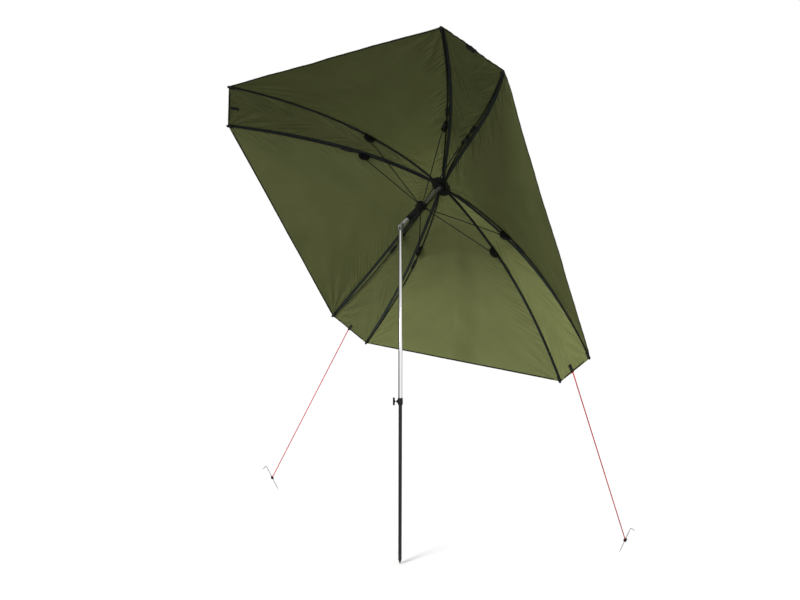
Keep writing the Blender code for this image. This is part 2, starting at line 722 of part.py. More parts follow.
def gore_mesh(to_next, to_last):
    """One gore in its rib's hinge frame: cloth from the middle of the panel on one side of the rib
    to the middle of that on the other, with the seam tape under it. to_next and to_last are the
    angles to the two neighbouring ribs."""
    hinge = Vector((HUB_RING_RADIUS, 0, 0))
    rings = []
    for r in [CLOTH_HOLE_RADIUS] + rib_stations():
        ring = []
        halves = {}
        for side in (to_next, to_last):
            own, way, half = toward_neighbour(r, CLOTH_RISE, side)
            top, top_way, _ = toward_neighbour(r, CLOTH_TOP, side)
            tape = min(TAPE_WIDTH / 2, TAPE_SHARE * half)
            low = above_rib(r, TAPE_RISE)
            halves[side] = (
                [top + top_way * (half - CLEAR / 2), own + way * (half - CLEAR / 2)],
                [own + way * tape, low + way * tape],
            )
        middle_top = above_rib(r, CLOTH_TOP)
        middle_low = above_rib(r, TAPE_RISE)
        edge, step = halves[to_next]
        ring += [middle_top, edge[0], edge[1], step[0], step[1], middle_low]
        edge, step = halves[to_last]
        ring += [step[1], step[0], edge[1], edge[0]]
        rings.append([point - hinge for point in ring])
    return to_mesh("gore", lofted(rings))


def hem_frame(side_turn, from_middle):
    """A frame on the underside of a hem in the rib's hinge frame: x out past the hem, y along it."""
    own, way, half = toward_neighbour(RIB_REACH, CLOTH_RISE, side_turn)
    point = own + way * (half - from_middle)
    slope = rib_slope(RIB_REACH)
    out = Vector((math.cos(slope), 0, -math.sin(slope)))
    normal = out.cross(way).normalized()
    if normal.z < 0:
        normal.negate()
    out = (out - way * out.dot(way)).normalized()
    side = normal.cross(out)
    place = Matrix((out, side, normal)).transposed().to_4x4()
    place.translation = point - Vector((HUB_RING_RADIUS, 0, 0))
    return place


def make_ribs_and_canopy(head, crown_frame):
    azimuths = rib_azimuths()
    rib = rib_mesh()
    joint = joint_mesh()
    inner, outer = stretcher_ends()
    rise = outer - inner
    stretcher = stretcher_mesh(rise.length)
    pitch = math.degrees(math.atan2(rise.z, rise.x))
    wide_gap = 360 / PAIR_COUNT - PAIR_GAP
    gores = {
        "narrow_next": gore_mesh(PAIR_GAP, -wide_gap),
        "wide_next": gore_mesh(wide_gap, -PAIR_GAP),
    }
    frames = {}
    for number, azimuth in enumerate(azimuths, 1):
        out = turn(azimuth, "Z") @ Matrix.Translation((HUB_RING_RADIUS, 0, 0))
        frame = add_empty(f"rib_hinge_{number}", head, Matrix.Translation((0, 0, SHAFT_LENGTH)) @ out)
        frames[number] = frame
        piece = add_piece(f"rib_{number}", rib, "rib_rod", frame)
        reach = 2 * LEAF_THICKNESS
        cut(piece, rod(RING_WIRE_RADIUS + CLEAR, -reach, reach, EYE_SIDES, turn(-90, "X")))
        add_joint(f"rib_joint_{number}", joint, frame)
        kind = "narrow_next" if number % 2 else "wide_next"
        add_piece(f"gore_{number}", gores[kind], "canopy_cloth", frame)
        out = turn(azimuth, "Z") @ Matrix.Translation((CROWN_RING_RADIUS, 0, 0)) @ turn(-pitch, "Y")
        hinge = add_empty(f"stretcher_hinge_{number}", crown_frame, out)
        add_stretcher(f"stretcher_{number}", stretcher, rise.length, hinge)
    for name, number, side, from_middle, width, on_cloth, past in HEM_TABS:
        place = hem_frame(side * PAIR_GAP, from_middle)
        low = (-on_cloth, -width / 2, -CLEAR - TAB_THICKNESS)
        add_piece(name, box(low, (past, width / 2, -CLEAR)), "webbing", frames[number], place)


# Guy lines


def make_guy_lines():
    bpy.context.view_layer.update()
    past = {row[0]: row[-1] for row in HEM_TABS}
    for name, tab, foot, top, hook in PEGS:
        foot, top, hook = Vector(foot), Vector(top), Vector(hook)
        peg = curve_rod(f"peg_{name}", [foot, top, hook], PEG_RADIUS, 2, "steel")
        peg.data.bevel_resolution = 2
        way = (top - foot).normalized()
        centre = foot.lerp(top, SLIDER_SHARE)
        tab_place = bpy.data.objects[tab].matrix_world
        under = -2 * CLEAR - TAB_THICKNESS - LINE_RADIUS
        sewn = tab_place @ Vector((past[tab] - LINE_SEWN, 0, under))
        leave = tab_place @ Vector((past[tab] + 2 * LINE_RADIUS, 0, under))
        pull = (leave - centre).normalized()
        across = way.cross(pull).normalized()
        out = across.cross(way)
        place = Matrix((out, across, way)).transposed().to_4x4()
        place.translation = centre
        low = (-SLIDER_WIDTH / 2, -SLIDER_WIDTH / 2, -SLIDER_LENGTH / 2)
        high = (SLIDER_WIDTH / 2, SLIDER_WIDTH / 2, SLIDER_LENGTH / 2)
        slider = add_piece(f"line_slider_{name}", box(low, high), "black_plastic", None, place)
        cut(slider, rod(PEG_RADIUS + CLEAR, -SLIDER_LENGTH, SLIDER_LENGTH, PIN_SIDES))
        along_line = Matrix.Translation(centre) @ pull.to_track_quat("Z", "Y").to_matrix().to_4x4()
        line_end = SLIDER_WIDTH / 2 / out.dot(pull) - LINE_SEAT
        in_slider = place.inverted() @ along_line
        hole = rod(LINE_RADIUS + CLEAR, line_end - CLEAR, SLIDER_WIDTH, PIN_SIDES, in_slider)
        cut(slider, hole)
        end = centre + pull * line_end
        straight = [leave.lerp(end, i / (LINE_POINTS - 1)) for i in range(LINE_POINTS)]
        curve_rod(f"guy_line_{name}", [sewn] + straight, LINE_RADIUS, 2, "red_line")


def curve_rod(name, points, radius, resolution, material):
    """A round rod or cord along the points, with closed ends."""
    curve = bpy.data.curves.new(name, "CURVE")
    curve.dimensions = "3D"
    curve.bevel_depth = radius
    curve.bevel_resolution = resolution
    curve.use_fill_caps = True
    spline = curve.splines.new("POLY")
    spline.points.add(len(points) - 1)
    for point, co in zip(spline.points, points):
        point.co = (*co, 1)
    curve.materials.append(material_of(material))
    return add_object(name, curve)


def main():
    for piece in list(bpy.data.objects):
        bpy.data.objects.remove(piece)
    make_lower_pole()
    make_upper_pole()
    make_clamp_screw()
    tilt = Matrix.Translation((0, 0, TILT_HEIGHT)) @ turn(HEADING, "Z") @ turn(TILT_ANGLE, "Y")
    head = add_empty("head_tilt", None, tilt)
    make_head(head)
    crown_frame = make_runner(head)
    make_ribs_and_canopy(head, crown_frame)
    make_guy_lines()


main()
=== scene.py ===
import json
import math

import bmesh
import bpy
from mathutils import Matrix, Vector, noise


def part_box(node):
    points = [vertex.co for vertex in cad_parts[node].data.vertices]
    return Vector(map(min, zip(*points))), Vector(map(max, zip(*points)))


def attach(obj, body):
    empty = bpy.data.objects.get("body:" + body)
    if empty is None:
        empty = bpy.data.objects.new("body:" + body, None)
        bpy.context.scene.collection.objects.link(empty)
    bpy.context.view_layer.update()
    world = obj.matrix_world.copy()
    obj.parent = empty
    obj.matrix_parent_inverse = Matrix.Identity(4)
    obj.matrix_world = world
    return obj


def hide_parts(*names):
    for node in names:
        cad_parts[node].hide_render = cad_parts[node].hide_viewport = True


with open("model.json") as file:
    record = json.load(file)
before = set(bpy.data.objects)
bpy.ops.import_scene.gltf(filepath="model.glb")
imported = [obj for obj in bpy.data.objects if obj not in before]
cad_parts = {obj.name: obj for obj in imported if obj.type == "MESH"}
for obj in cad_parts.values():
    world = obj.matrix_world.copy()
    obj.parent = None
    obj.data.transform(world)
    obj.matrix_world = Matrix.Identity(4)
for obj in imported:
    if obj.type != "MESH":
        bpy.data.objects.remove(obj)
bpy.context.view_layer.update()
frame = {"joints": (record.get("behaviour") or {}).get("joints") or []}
scene = bpy.context.scene


# Camera
# It stands at the height of the tilt joint, a little over three metres in front of the pole, and
# looks slightly down. It was fitted to the corners and edges of the canopy and to the pole.

LENS = 27.157
CAMERA_AT = (-0.0013, -3.2033, 1.9204)
CAMERA_TURN = (90 - 7.342, -0.123, 0.045)

lens = bpy.data.cameras.new("camera")
lens.sensor_width = 36
lens.lens = LENS
camera = bpy.data.objects.new("camera", lens)
camera.location = CAMERA_AT
camera.rotation_euler = [math.radians(angle) for angle in CAMERA_TURN]
scene.collection.objects.link(camera)
scene.camera = camera
scene.view_settings.view_transform = "Standard"


# Guy lines, sliders and pegs
# Braided red cord of 6 mm, sewn under the webbing tabs on the two low hems and pulled tight into a
# black moulded slider. Each slider sits on a peg of zinc-plated wire, bent over to a hook at the top.

LINE_RADIUS = 0.0029
LINE_SEWN = 0.003
LINE_SEAT = 0.003
LINE_STEPS = 24
PEG_RADIUS = 0.0023
PEG_POINT_RADIUS = PEG_RADIUS * 0.4
PEG_POINT = 0.12
PEG_BEND = 0.009
PEG_SIDE = Vector((0.6, 0.8, 0))
TAB_THICKNESS = 0.0016
TAB_LEVEL = -0.0003 - TAB_THICKNESS / 2
# Rib, side of the rib, distance from the hem's middle, width, length on the cloth, length past it
GUY_TABS = {"back": (2, -1, 0.004, 0.015, 0.036, 0.008), "side": (8, -1, 0.022, 0.024, 0.040, 0.004)}
# Foot, top and end of the hook
PEGS = {
    "back": ((-0.880, 0.945, 0.004), (-0.978, 1.014, 0.153), (-0.998, 0.996, 0.138)),
    "side": ((1.290, 0.125, 0.004), (1.353, 0.135, 0.147), (1.372, 0.128, 0.134)),
}
SLIDER_SIZE = (0.013, 0.013, 0.022)
SLIDER_RIDGE = (0.0136, 0.0136, 0.0016)
HUB_HEIGHT = 0.398
PAIR_GAP = math.radians(14.3)
RIB_REACH = 1.156
RIB_DROP = 0.467
RIB_CURVE = 1.84
CLOTH_RISE = 0.0057
TIP_ASIDE = {1: 0.015, 2: 0.022, 3: 0.0, 4: -0.008, 5: 0.002, 6: -0.005, 7: -0.017, 8: -0.009}

joints = {joint["name"]: joint for joint in frame["joints"]}
rib_joints = [joints[f"rib_fold_{number}"] for number in range(1, 9)]
shaft_way = -Vector(joints["runner_slide"]["axis"])
pin_way = Vector(joints["head_tilt"]["axis"]).normalized()
tilt_centre = Vector(joints["head_tilt"]["pos_m"])
hub_centre = tilt_centre + shaft_way * HUB_HEIGHT


def frame_matrix(x, y, z, origin):
    place = Matrix((x, y, z)).transposed().to_4x4()
    place.translation = origin
    return place


def rib_slope(r):
    """The rib's angle below level at r, out from the middle of the hub."""
    return math.atan(RIB_DROP * RIB_CURVE / RIB_REACH * (max(r, 0) / RIB_REACH) ** (RIB_CURVE - 1))


def rib_line(r, rise=0.0):
    """The point at r on the rib, or at a height square to it, in the rib's own plane."""
    slope = rib_slope(r)
    depth = RIB_DROP * (max(r, 0) / RIB_REACH) ** RIB_CURVE
    return Vector((r + math.sin(slope) * rise, 0, -depth + math.cos(slope) * rise))


def rib_frame(number):
    """The rib's frame: origin in the middle of the hub, X out along the rib, Z up the shaft."""
    way = Vector(rib_joints[number - 1]["axis"]).normalized()
    return frame_matrix(way.cross(shaft_way), way, shaft_way, hub_centre)


def hem_frame(number, side, from_middle):
    """A frame on the underside of a narrow panel's hem: X out past the hem, Y along it."""
    corner = rib_line(RIB_REACH, CLOTH_RISE)
    own = corner + Vector((0, TIP_ASIDE[number], 0))
    other = Matrix.Rotation(side * PAIR_GAP, 3, "Z") @ (corner + Vector((0, TIP_ASIDE[number + side], 0)))
    along = (other - own).normalized()
    slope = rib_slope(RIB_REACH)
    out = Vector((math.cos(slope), 0, -math.sin(slope)))
    normal = out.cross(along).normalized()
    if normal.z < 0:
        normal.negate()
    out = (out - along * out.dot(along)).normalized()
    point = own.lerp(other, 0.5) - along * from_middle
    return rib_frame(number) @ frame_matrix(out, normal.cross(out), normal, point)


def corners_of(geometry):
    return [part for part in geometry if isinstance(part, bmesh.types.BMVert)]


def drawn(points, radii, sides=12, side_way=Vector((0, 1, 0))):
    """A bar drawn through the points, closed at both ends. A radius is one number, or one along
    side_way and one square to it. The UV map runs in metres along the bar and from 0 to 1 round it."""
    places = []
    ways = side_way if isinstance(side_way, list) else [side_way] * len(points)
    for i, (point, out) in enumerate(zip(points, ways)):
        way = (points[min(i + 1, len(points) - 1)] - points[max(i - 1, 0)]).normalized()
        side = (out - way * out.dot(way)).normalized()
        wide, high = radii[i] if isinstance(radii[i], tuple) else (radii[i], radii[i])
        places.append(frame_matrix(side * wide, way.cross(side) * high, way, point))
    form = bmesh.new()
    step = form.verts.layers.int.new("step")
    turn = form.verts.layers.int.new("turn")
    ring = bmesh.ops.create_circle(form, segments=sides, radius=1, cap_ends=True)["verts"]
    for i, vert in enumerate(ring):
        vert[turn] = i
    bmesh.ops.transform(form, matrix=places[0], verts=ring)
    edges = list(form.edges)
    for i in range(1, len(places)):
        out = bmesh.ops.extrude_edge_only(form, edges=edges)["geom"]
        ring = corners_of(out)
        edges = [e for e in out if isinstance(e, bmesh.types.BMEdge) and all(v in ring for v in e.verts)]
        bmesh.ops.transform(form, matrix=places[i] @ places[i - 1].inverted(), verts=ring)
        for vert in ring:
            vert[step] = i
    bmesh.ops.contextual_create(form, geom=edges)
    along = [0]
    for near, far in zip(points, points[1:]):
        along.append(along[-1] + (far - near).length)
    uv = form.loops.layers.uv.new("UVMap")
    for face in form.faces:
        last = any(loop.vert[turn] == sides - 1 for loop in face.loops)
        for loop in face.loops:
            around = sides if last and loop.vert[turn] == 0 else loop.vert[turn]
            loop[uv].uv = (along[loop.vert[step]], around / sides)
    bmesh.ops.recalc_face_normals(form, faces=form.faces)
    return form


def fitted(name, form, material, body, replaced=(), sharp=40):
    """Makes a finished piece of a form, lets it ride on its body and hides the CAD nodes it stands for."""
    mesh = bpy.data.meshes.new(name)
    form.to_mesh(mesh)
    form.free()
    mesh.shade_smooth()
    mesh.set_sharp_from_angle(angle=math.radians(sharp))
    mesh.materials.append(material)
    piece = bpy.data.objects.new(name, mesh)
    scene.collection.objects.link(piece)
    if replaced:
        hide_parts(*replaced)
    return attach(piece, body)


def put(tree, socket, value):
    """Links another node's output to a socket, or sets its value. A colour is given without alpha."""
    if isinstance(value, bpy.types.NodeSocket):
        tree.links.new(value, socket)
    else:
        socket.default_value = (*value, 1) if socket.type == "RGBA" else value


def add_node(tree, kind, inputs=None, **settings):
    """A shader node with its settings, and a value or another node's output for each named input."""
    node = tree.nodes.new(f"ShaderNode{kind}")
    for name, value in settings.items():
        setattr(node, name, value)
    for name, value in (inputs or {}).items():
        put(tree, node.inputs[name], value)
    return node


def calc(tree, operation, *values, clamp=False):
    """The result of a Math node. Each value is a number or another node's output."""
    node = add_node(tree, "Math", dict(enumerate(values)), operation=operation, use_clamp=clamp)
    return node.outputs[0]


def ranged(tree, value, near, far, low=0.0, high=1.0, curve="LINEAR"):
    """A value that runs from low to high as another runs from near to far."""
    limits = {"Value": value, "From Min": near, "From Max": far, "To Min": low, "To Max": high}
    return add_node(tree, "MapRange", limits, interpolation_type=curve).outputs["Result"]


def cloudy(tree, vector, scale, detail=3.0, low=0.35, high=0.65):
    """Noise spread out to run from 0 to 1 between its low and high values."""
    cloud = add_node(tree, "TexNoise", {"Vector": vector, "Scale": scale, "Detail": detail})
    return ranged(tree, cloud.outputs["Fac"], low, high)


def blended(tree, factor, first, second, way="MIX"):
    """A colour between two, each a colour or another node's output."""
    mix = add_node(tree, "Mix", {0: factor, 6: first, 7: second}, data_type="RGBA", blend_type=way)
    return mix.outputs[2]


def coordinates(tree, which="UV"):
    return add_node(tree, "TexCoord").outputs[which]


def split_up(tree, vector):
    return add_node(tree, "SeparateXYZ", {0: vector}).outputs


def new_group(name, values, outputs):
    """A node group with a Vector input, and number inputs and outputs. It is returned with the sockets
    that it is given and those that it has made."""
    group = bpy.data.node_groups.new(name, "ShaderNodeTree")
    group.interface.new_socket("Vector", in_out="INPUT", socket_type="NodeSocketVector")
    for socket, value in values.items():
        made = group.interface.new_socket(socket, in_out="INPUT", socket_type="NodeSocketFloat")
        made.default_value = value
    for socket in outputs:
        group.interface.new_socket(socket, in_out="OUTPUT", socket_type="NodeSocketFloat")
    return group, group.nodes.new("NodeGroupInput").outputs, group.nodes.new("NodeGroupOutput").inputs


def use_group(tree, group, **values):
    return add_node(tree, "Group", values, node_tree=group).outputs


def raised(tree, height, strength, distance):
    """A Bump node for a height."""
    return add_node(tree, "Bump", {"Strength": strength, "Distance": distance, "Height": height})


def new_material(name, base):
    material = bpy.data.materials.new(name)
    material.use_nodes = True
    tree = material.node_tree
    put(tree, tree.nodes["Principled BSDF"].inputs["Base Color"], base)
    return material, tree


def dress(tree, colour, roughness, bump, metallic=0.0, specular=0.2):
    """Sets the Principled shader of a material by values and other nodes' outputs, with a Bump node."""
    shader = tree.nodes["Principled BSDF"]
    values = {
        "Base Color": colour, "Roughness": roughness, "Metallic": metallic, "Specular IOR Level": specular,
        "Normal": bump.outputs["Normal"],
    }
    for name, value in values.items():
        put(tree, shader.inputs[name], value)


# Crossed strands on a UV map in metres: height and tone. Along and Around count them.
strands, given, made = new_group("strands", {"Along": 900.0, "Around": 4.0}, ["Height", "Tone"])
split = split_up(strands, given["Vector"])
along = calc(strands, "MULTIPLY", split["X"], given["Along"])
around = calc(strands, "MULTIPLY", split["Y"], given["Around"])
right, left = [
    calc(strands, "SINE", calc(strands, "MULTIPLY", calc(strands, way, along, around), math.tau))
    for way in ("ADD", "SUBTRACT")
]
both = calc(strands, "MULTIPLY", right, left)
put(strands, made["Height"], calc(strands, "MULTIPLY_ADD", both, 0.5, 0.5))
put(strands, made["Tone"], calc(strands, "MULTIPLY_ADD", right, 0.5, 0.5))

red_cord, tree = new_material("red_cord", (0.80, 0.012, 0.014))
braid = use_group(tree, strands, Vector=coordinates(tree), Along=330.0, Around=4.0)
red = blended(tree, braid["Tone"], (0.62, 0.005, 0.008), (0.86, 0.015, 0.018))
dress(tree, red, 0.75, raised(tree, braid["Height"], 0.6, 0.0004), specular=0.1)

# Fine cast or moulded grain, and slow patches of handling.
fine_grain, given, made = new_group("fine_grain", {"Grain": 900.0, "Patches": 25.0}, ["Height", "Wear"])
fine = add_node(fine_grain, "TexNoise", {"Vector": given["Vector"], "Scale": given["Grain"], "Detail": 2.0})
put(fine_grain, made["Height"], fine.outputs["Fac"])
put(fine_grain, made["Wear"], cloudy(fine_grain, given["Vector"], given["Patches"], 4.0, 0.42, 0.66))


def grained(
        name, dark, light, smooth, rough, metallic=0.0, grain=900.0, patches=25.0, depth=0.00008, bump=0.35,
):
    """A moulded, cast or painted finish: two tones and two roughnesses in slow patches, under a grain."""
    material, tree = new_material(name, dark)
    out = use_group(tree, fine_grain, Vector=coordinates(tree, "Object"), Grain=grain, Patches=patches)
    colour = blended(tree, out["Wear"], dark, light)
    worn = calc(tree, "MULTIPLY_ADD", out["Wear"], smooth - rough, rough)
    dress(tree, colour, worn, raised(tree, out["Height"], bump, depth), metallic)
    return material


peg_zinc = grained("peg_zinc", (0.50, 0.50, 0.49), (0.66, 0.66, 0.65), 0.28, 0.45, 1.0, 500.0, 40.0)
black_moulding = grained("black_moulding", (0.007, 0.007, 0.008), (0.014, 0.014, 0.015), 0.38, 0.55)


def rounded_corner(before, corner, after, radius, steps=6):
    """Points round a bend in a wire, in place of its sharp corner."""
    start = corner + (before - corner).normalized() * radius
    end = corner + (after - corner).normalized() * radius
    shares = [i / steps for i in range(steps + 1)]
    return [start.lerp(corner, share).lerp(corner.lerp(end, share), share) for share in shares]


def softened(form, width, segments=2, sharper=30):
    """Rounds every edge of a form that is sharper than the angle."""
    edges = [e for e in form.edges if e.is_manifold and e.calc_face_angle(0) > math.radians(sharper)]
    bmesh.ops.bevel(
        form, geom=edges, offset=width, offset_type="OFFSET", segments=segments, profile=0.5,
        affect="EDGES", material=-1, clamp_overlap=True,
    )
    return form


def block(size, at=(0, 0, 0), edge=0.001, segments=2):
    """A block with softened edges, of a size along X, Y and Z, about a point."""
    form = bmesh.new()
    bmesh.ops.create_cube(form, size=1, matrix=Matrix.Diagonal((*size, 1)))
    softened(form, edge, segments)
    form.transform(Matrix.Translation(at))
    return form


def add_forms(*forms):
    """Several separate forms as one, for a piece that is moulded or sewn of them."""
    whole = forms[0]
    for form in forms[1:]:
        part = bpy.data.meshes.new("part")
        form.to_mesh(part)
        form.free()
        whole.from_mesh(part)
        bpy.data.meshes.remove(part)
    return whole


def ridged(size, ridge, ridge_x, spacing, edge):
    """A moulded block with three ridges, one in the middle and one at a distance above and below it."""
    ridges = [block(ridge, (ridge_x, 0, level), edge, 1) for level in (-spacing, 0, spacing)]
    return add_forms(block(size, edge=0.0022, segments=3), *ridges)


for side, (number, turn, from_middle, _, _, past) in GUY_TABS.items():
    body = f"rib_side_{number}"
    foot, top, hook = [Vector(corner) for corner in PEGS[side]]
    wire = [foot, foot.lerp(top, PEG_POINT)] + rounded_corner(foot, top, hook, PEG_BEND) + [hook]
    peg = drawn(wire, [PEG_POINT_RADIUS] + [PEG_RADIUS] * (len(wire) - 1), 12, PEG_SIDE)
    fitted(f"wire_peg_{side}", peg, peg_zinc, body, [f"peg_{side}"], 50)

    tab = hem_frame(number, turn, from_middle)
    sewn = tab @ Vector((past - LINE_SEWN, 0, TAB_LEVEL))
    leave = tab @ Vector((past + 2 * LINE_RADIUS, 0, TAB_LEVEL))
    shank = (top - foot).normalized()
    centre = foot.lerp(top, 0.5)
    pull = (leave - centre).normalized()
    across = shank.cross(pull).normalized()
    face = across.cross(shank)
    moulding = ridged(SLIDER_SIZE, SLIDER_RIDGE, 0, 0.0045, 0.0005)
    moulding.transform(frame_matrix(face, across, shank, centre))
    fitted(f"cord_slider_{side}", moulding, black_moulding, body, [f"line_slider_{side}"])

    seat = centre + pull * (SLIDER_SIZE[0] / 2 / face.dot(pull) - LINE_SEAT)
    route = [sewn] + [leave.lerp(seat, i / (LINE_STEPS - 1)) for i in range(LINE_STEPS)]
    cord = drawn(route, [LINE_RADIUS] * len(route))
    line = fitted(f"red_cord_{side}", cord, red_cord, body, [f"guy_line_{side}"], 60)


# Floor, backdrop and lamps
# A white floor that shows the pole's own soft shadow round its foot, a white surround for the camera,
# cards for gloss, a soft sky, a key light from the front left and a low fill lamp below it.

FLOOR_HALF = 30.0
FLOOR_DIM = (0.05, 0.05, 0.05)
FLOOR_WHITE = 1.02
SHADOW_REACH = 0.80
SHADOW_LIT = 0.79
SHADOW_DEPTH = 1.28
SKY_STRENGTH = 0.95
KEY_HEIGHT = 43
KEY_SIDE = 215
KEY_STRENGTH = 2.2
KEY_SPREAD = 0.25
FILL_AT = Vector((-1.6, -3.0, 0.30))
FILL_TARGET = Vector((0.2, 0.2, 2.0))
FILL_SIZE = 1.5
FILL_WATTS = 29

floor_form = bmesh.new()
bmesh.ops.create_grid(floor_form, x_segments=1, y_segments=1, size=FLOOR_HALF)
floor_mesh = bpy.data.meshes.new("floor")
floor_form.to_mesh(floor_mesh)
floor_form.free()
floor = bpy.data.objects.new("floor", floor_mesh)
scene.collection.objects.link(floor)

# What gloss sees in a direction: white in front, grey to the right, nearly dark behind and to the left.
cards, given, made = new_group("cards", {}, ["Strength"])
level = add_node(cards, "VectorMath", {0: given["Vector"]}, operation="NORMALIZE").outputs[0]
split = split_up(cards, level)
front = ranged(cards, split["Y"], -0.05, -0.90, 0.08, 0.95, "SMOOTHSTEP")
right = ranged(cards, split["X"], 0.20, 0.85, 0.0, 0.52, "SMOOTHSTEP")
put(cards, made["Strength"], calc(cards, "ADD", front, right))


def chosen(tree, factor, first, second):
    return add_node(tree, "MixShader", {0: factor, 1: first.outputs[0], 2: second.outputs[0]})


paper = bpy.data.materials.new("floor_paper")
paper.use_nodes = True
tree = paper.node_tree
tree.nodes.remove(tree.nodes["Principled BSDF"])
seen = add_node(tree, "LightPath").outputs
away = add_node(tree, "VectorMath", {0: coordinates(tree, "Object")}, operation="LENGTH").outputs["Value"]
share = ranged(tree, away, 0.0, SHADOW_REACH, SHADOW_LIT, 0.0, "SMOOTHSTEP")
lit = add_node(tree, "BsdfDiffuse", {"Color": share})
glow = add_node(tree, "Emission", {"Strength": calc(tree, "MULTIPLY_ADD", share, -SHADOW_DEPTH, FLOOR_WHITE)})
together = add_node(tree, "AddShader", {0: lit.outputs[0], 1: glow.outputs[0]})
dim = add_node(tree, "BsdfDiffuse", {"Color": FLOOR_DIM})
carded = use_group(tree, cards, Vector=coordinates(tree, "Object"))
mirrored = add_node(tree, "Emission", {"Strength": carded["Strength"]})
shown = chosen(tree, seen["Is Glossy Ray"], chosen(tree, seen["Is Camera Ray"], dim, together), mirrored)
put(tree, tree.nodes["Material Output"].inputs["Surface"], shown.outputs[0])
floor.data.materials.append(paper)

sky = bpy.data.worlds.new("studio")
scene.world = sky
sky.use_nodes = True
tree = sky.node_tree
soft_light = tree.nodes["Background"]
put(tree, soft_light.inputs["Color"], (1, 1, 1))
put(tree, soft_light.inputs["Strength"], SKY_STRENGTH)
white = add_node(tree, "Background", {"Color": (1, 1, 1), "Strength": 1.0})
carded = use_group(tree, cards, Vector=coordinates(tree, "Generated"))
mirrored = add_node(tree, "Background", {"Strength": carded["Strength"]})
seen = add_node(tree, "LightPath").outputs
clear = calc(tree, "MAXIMUM", seen["Is Camera Ray"], seen["Is Transmission Ray"])
shown = chosen(tree, clear, chosen(tree, seen["Is Glossy Ray"], soft_light, mirrored), white)
put(tree, tree.nodes["World Output"].inputs["Surface"], shown.outputs[0])

fill = bpy.data.lights.new("low_fill", "AREA")
fill.shape = "DISK"
fill.size = FILL_SIZE
fill.energy = FILL_WATTS
holder = bpy.data.objects.new("low_fill", fill)
holder.location = FILL_AT
holder.rotation_euler = (FILL_TARGET - FILL_AT).to_track_quat("-Z", "Y").to_euler()
scene.collection.objects.link(holder)
key = bpy.data.lights.new("key_light", "SUN")
key.energy = KEY_STRENGTH
key.angle = KEY_SPREAD
holder = bpy.data.objects.new("key_light", key)
holder.rotation_euler = (math.radians(90 - KEY_HEIGHT), 0, math.radians(KEY_SIDE - 270))
holder.visible_glossy = False
scene.collection.objects.link(holder)


# Lower pole
# A black painted steel tube of 19 mm that runs up inside the upper one, closed at the foot by a
# pressed spike. The paint is rubbed where the clamp slides and scratched near the ground.

LOWER_RADIUS = 0.0097
TUBE_WALL = 0.001
PLAY = 0.0003
SPIKE_LENGTH = 0.026
SPIKE_POINT = 0.0010
PLUG_LENGTH = 0.040


def turned(groups, sides=48, place=Matrix()):
    """A form turned about Z from an outline. Each group is a radius, a height and steps in millimetres
    out and up from them, or one point if it has no steps. The outline is closed unless it ends on the
    axis."""
    outline = []
    for radius, height, *steps in groups:
        outline += [(radius + out / 1000, height + up / 1000) for out, up in steps or [(0, 0)]]
    form = bmesh.new()
    corners = [form.verts.new((radius, 0, height)) for radius, height in outline]
    edges = [form.edges.new(pair) for pair in zip(corners, corners[1:])]
    if outline[0][0] > 0 and outline[-1][0] > 0:
        edges.append(form.edges.new((corners[-1], corners[0])))
    bmesh.ops.spin(
        form, geom=corners + edges, cent=(0, 0, 0), axis=(0, 0, 1), angle=math.tau, steps=sides,
        use_merge=True, use_duplicate=False,
    )
    bmesh.ops.remove_doubles(form, verts=form.verts, dist=1e-6)
    bmesh.ops.dissolve_degenerate(form, edges=form.edges, dist=1e-7)
    bmesh.ops.recalc_face_normals(form, faces=form.faces)
    form.transform(place)
    return form


def tube(radius, wall, low, high, place=Matrix(), ease=0.4):
    """A turned tube with eased rims, the lower one by a height in millimetres."""
    bore = radius - wall
    rims = [(radius, low, (-0.3, 0), (0, ease)), (radius, high, (0, -0.4), (-0.3, 0))]
    return turned([(bore, low), *rims, (bore, high)], 48, place)


def stretched(tree, vector, amounts):
    return add_node(tree, "VectorMath", {0: vector, 1: amounts}, operation="MULTIPLY").outputs[0]


# Long scratches and rub marks along Z on a tube, and its drawn grain.
tube_marks, given, made = new_group("tube_marks", {}, ["Marks", "Grain"])
lengthwise = stretched(tube_marks, given["Vector"], (1.0, 1.0, 0.04))
marks = cloudy(tube_marks, lengthwise, 420.0, 3.0, 0.60, 0.72)
patches = cloudy(tube_marks, given["Vector"], 9.0, 2.0, 0.45, 0.70)
put(tube_marks, made["Marks"], calc(tube_marks, "MULTIPLY", marks, patches))
put(tube_marks, made["Grain"], cloudy(tube_marks, lengthwise, 1600.0, 1.0, 0.3, 0.7))


def tube_finish(name, base, marked, roughness, marked_roughness, metallic, bump):
    material, tree = new_material(name, base)
    out = use_group(tree, tube_marks, Vector=coordinates(tree, "Object"))
    rough = calc(tree, "MULTIPLY_ADD", out["Marks"], marked_roughness - roughness, roughness)
    grain = raised(tree, out["Grain"], bump, 0.00003)
    dress(tree, blended(tree, out["Marks"], base, marked), rough, grain, metallic, 0.25)
    return material


black_paint = tube_finish("black_paint", (0.013, 0.0135, 0.015), (0.045, 0.045, 0.045), 0.36, 0.5, 0.0, 0.15)
low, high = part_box("lower_tube")
pole = tube(LOWER_RADIUS, TUBE_WALL, low.z, high.z)
fitted("lower_pole_tube", pole, black_paint, "lower_pole", ["lower_tube"])

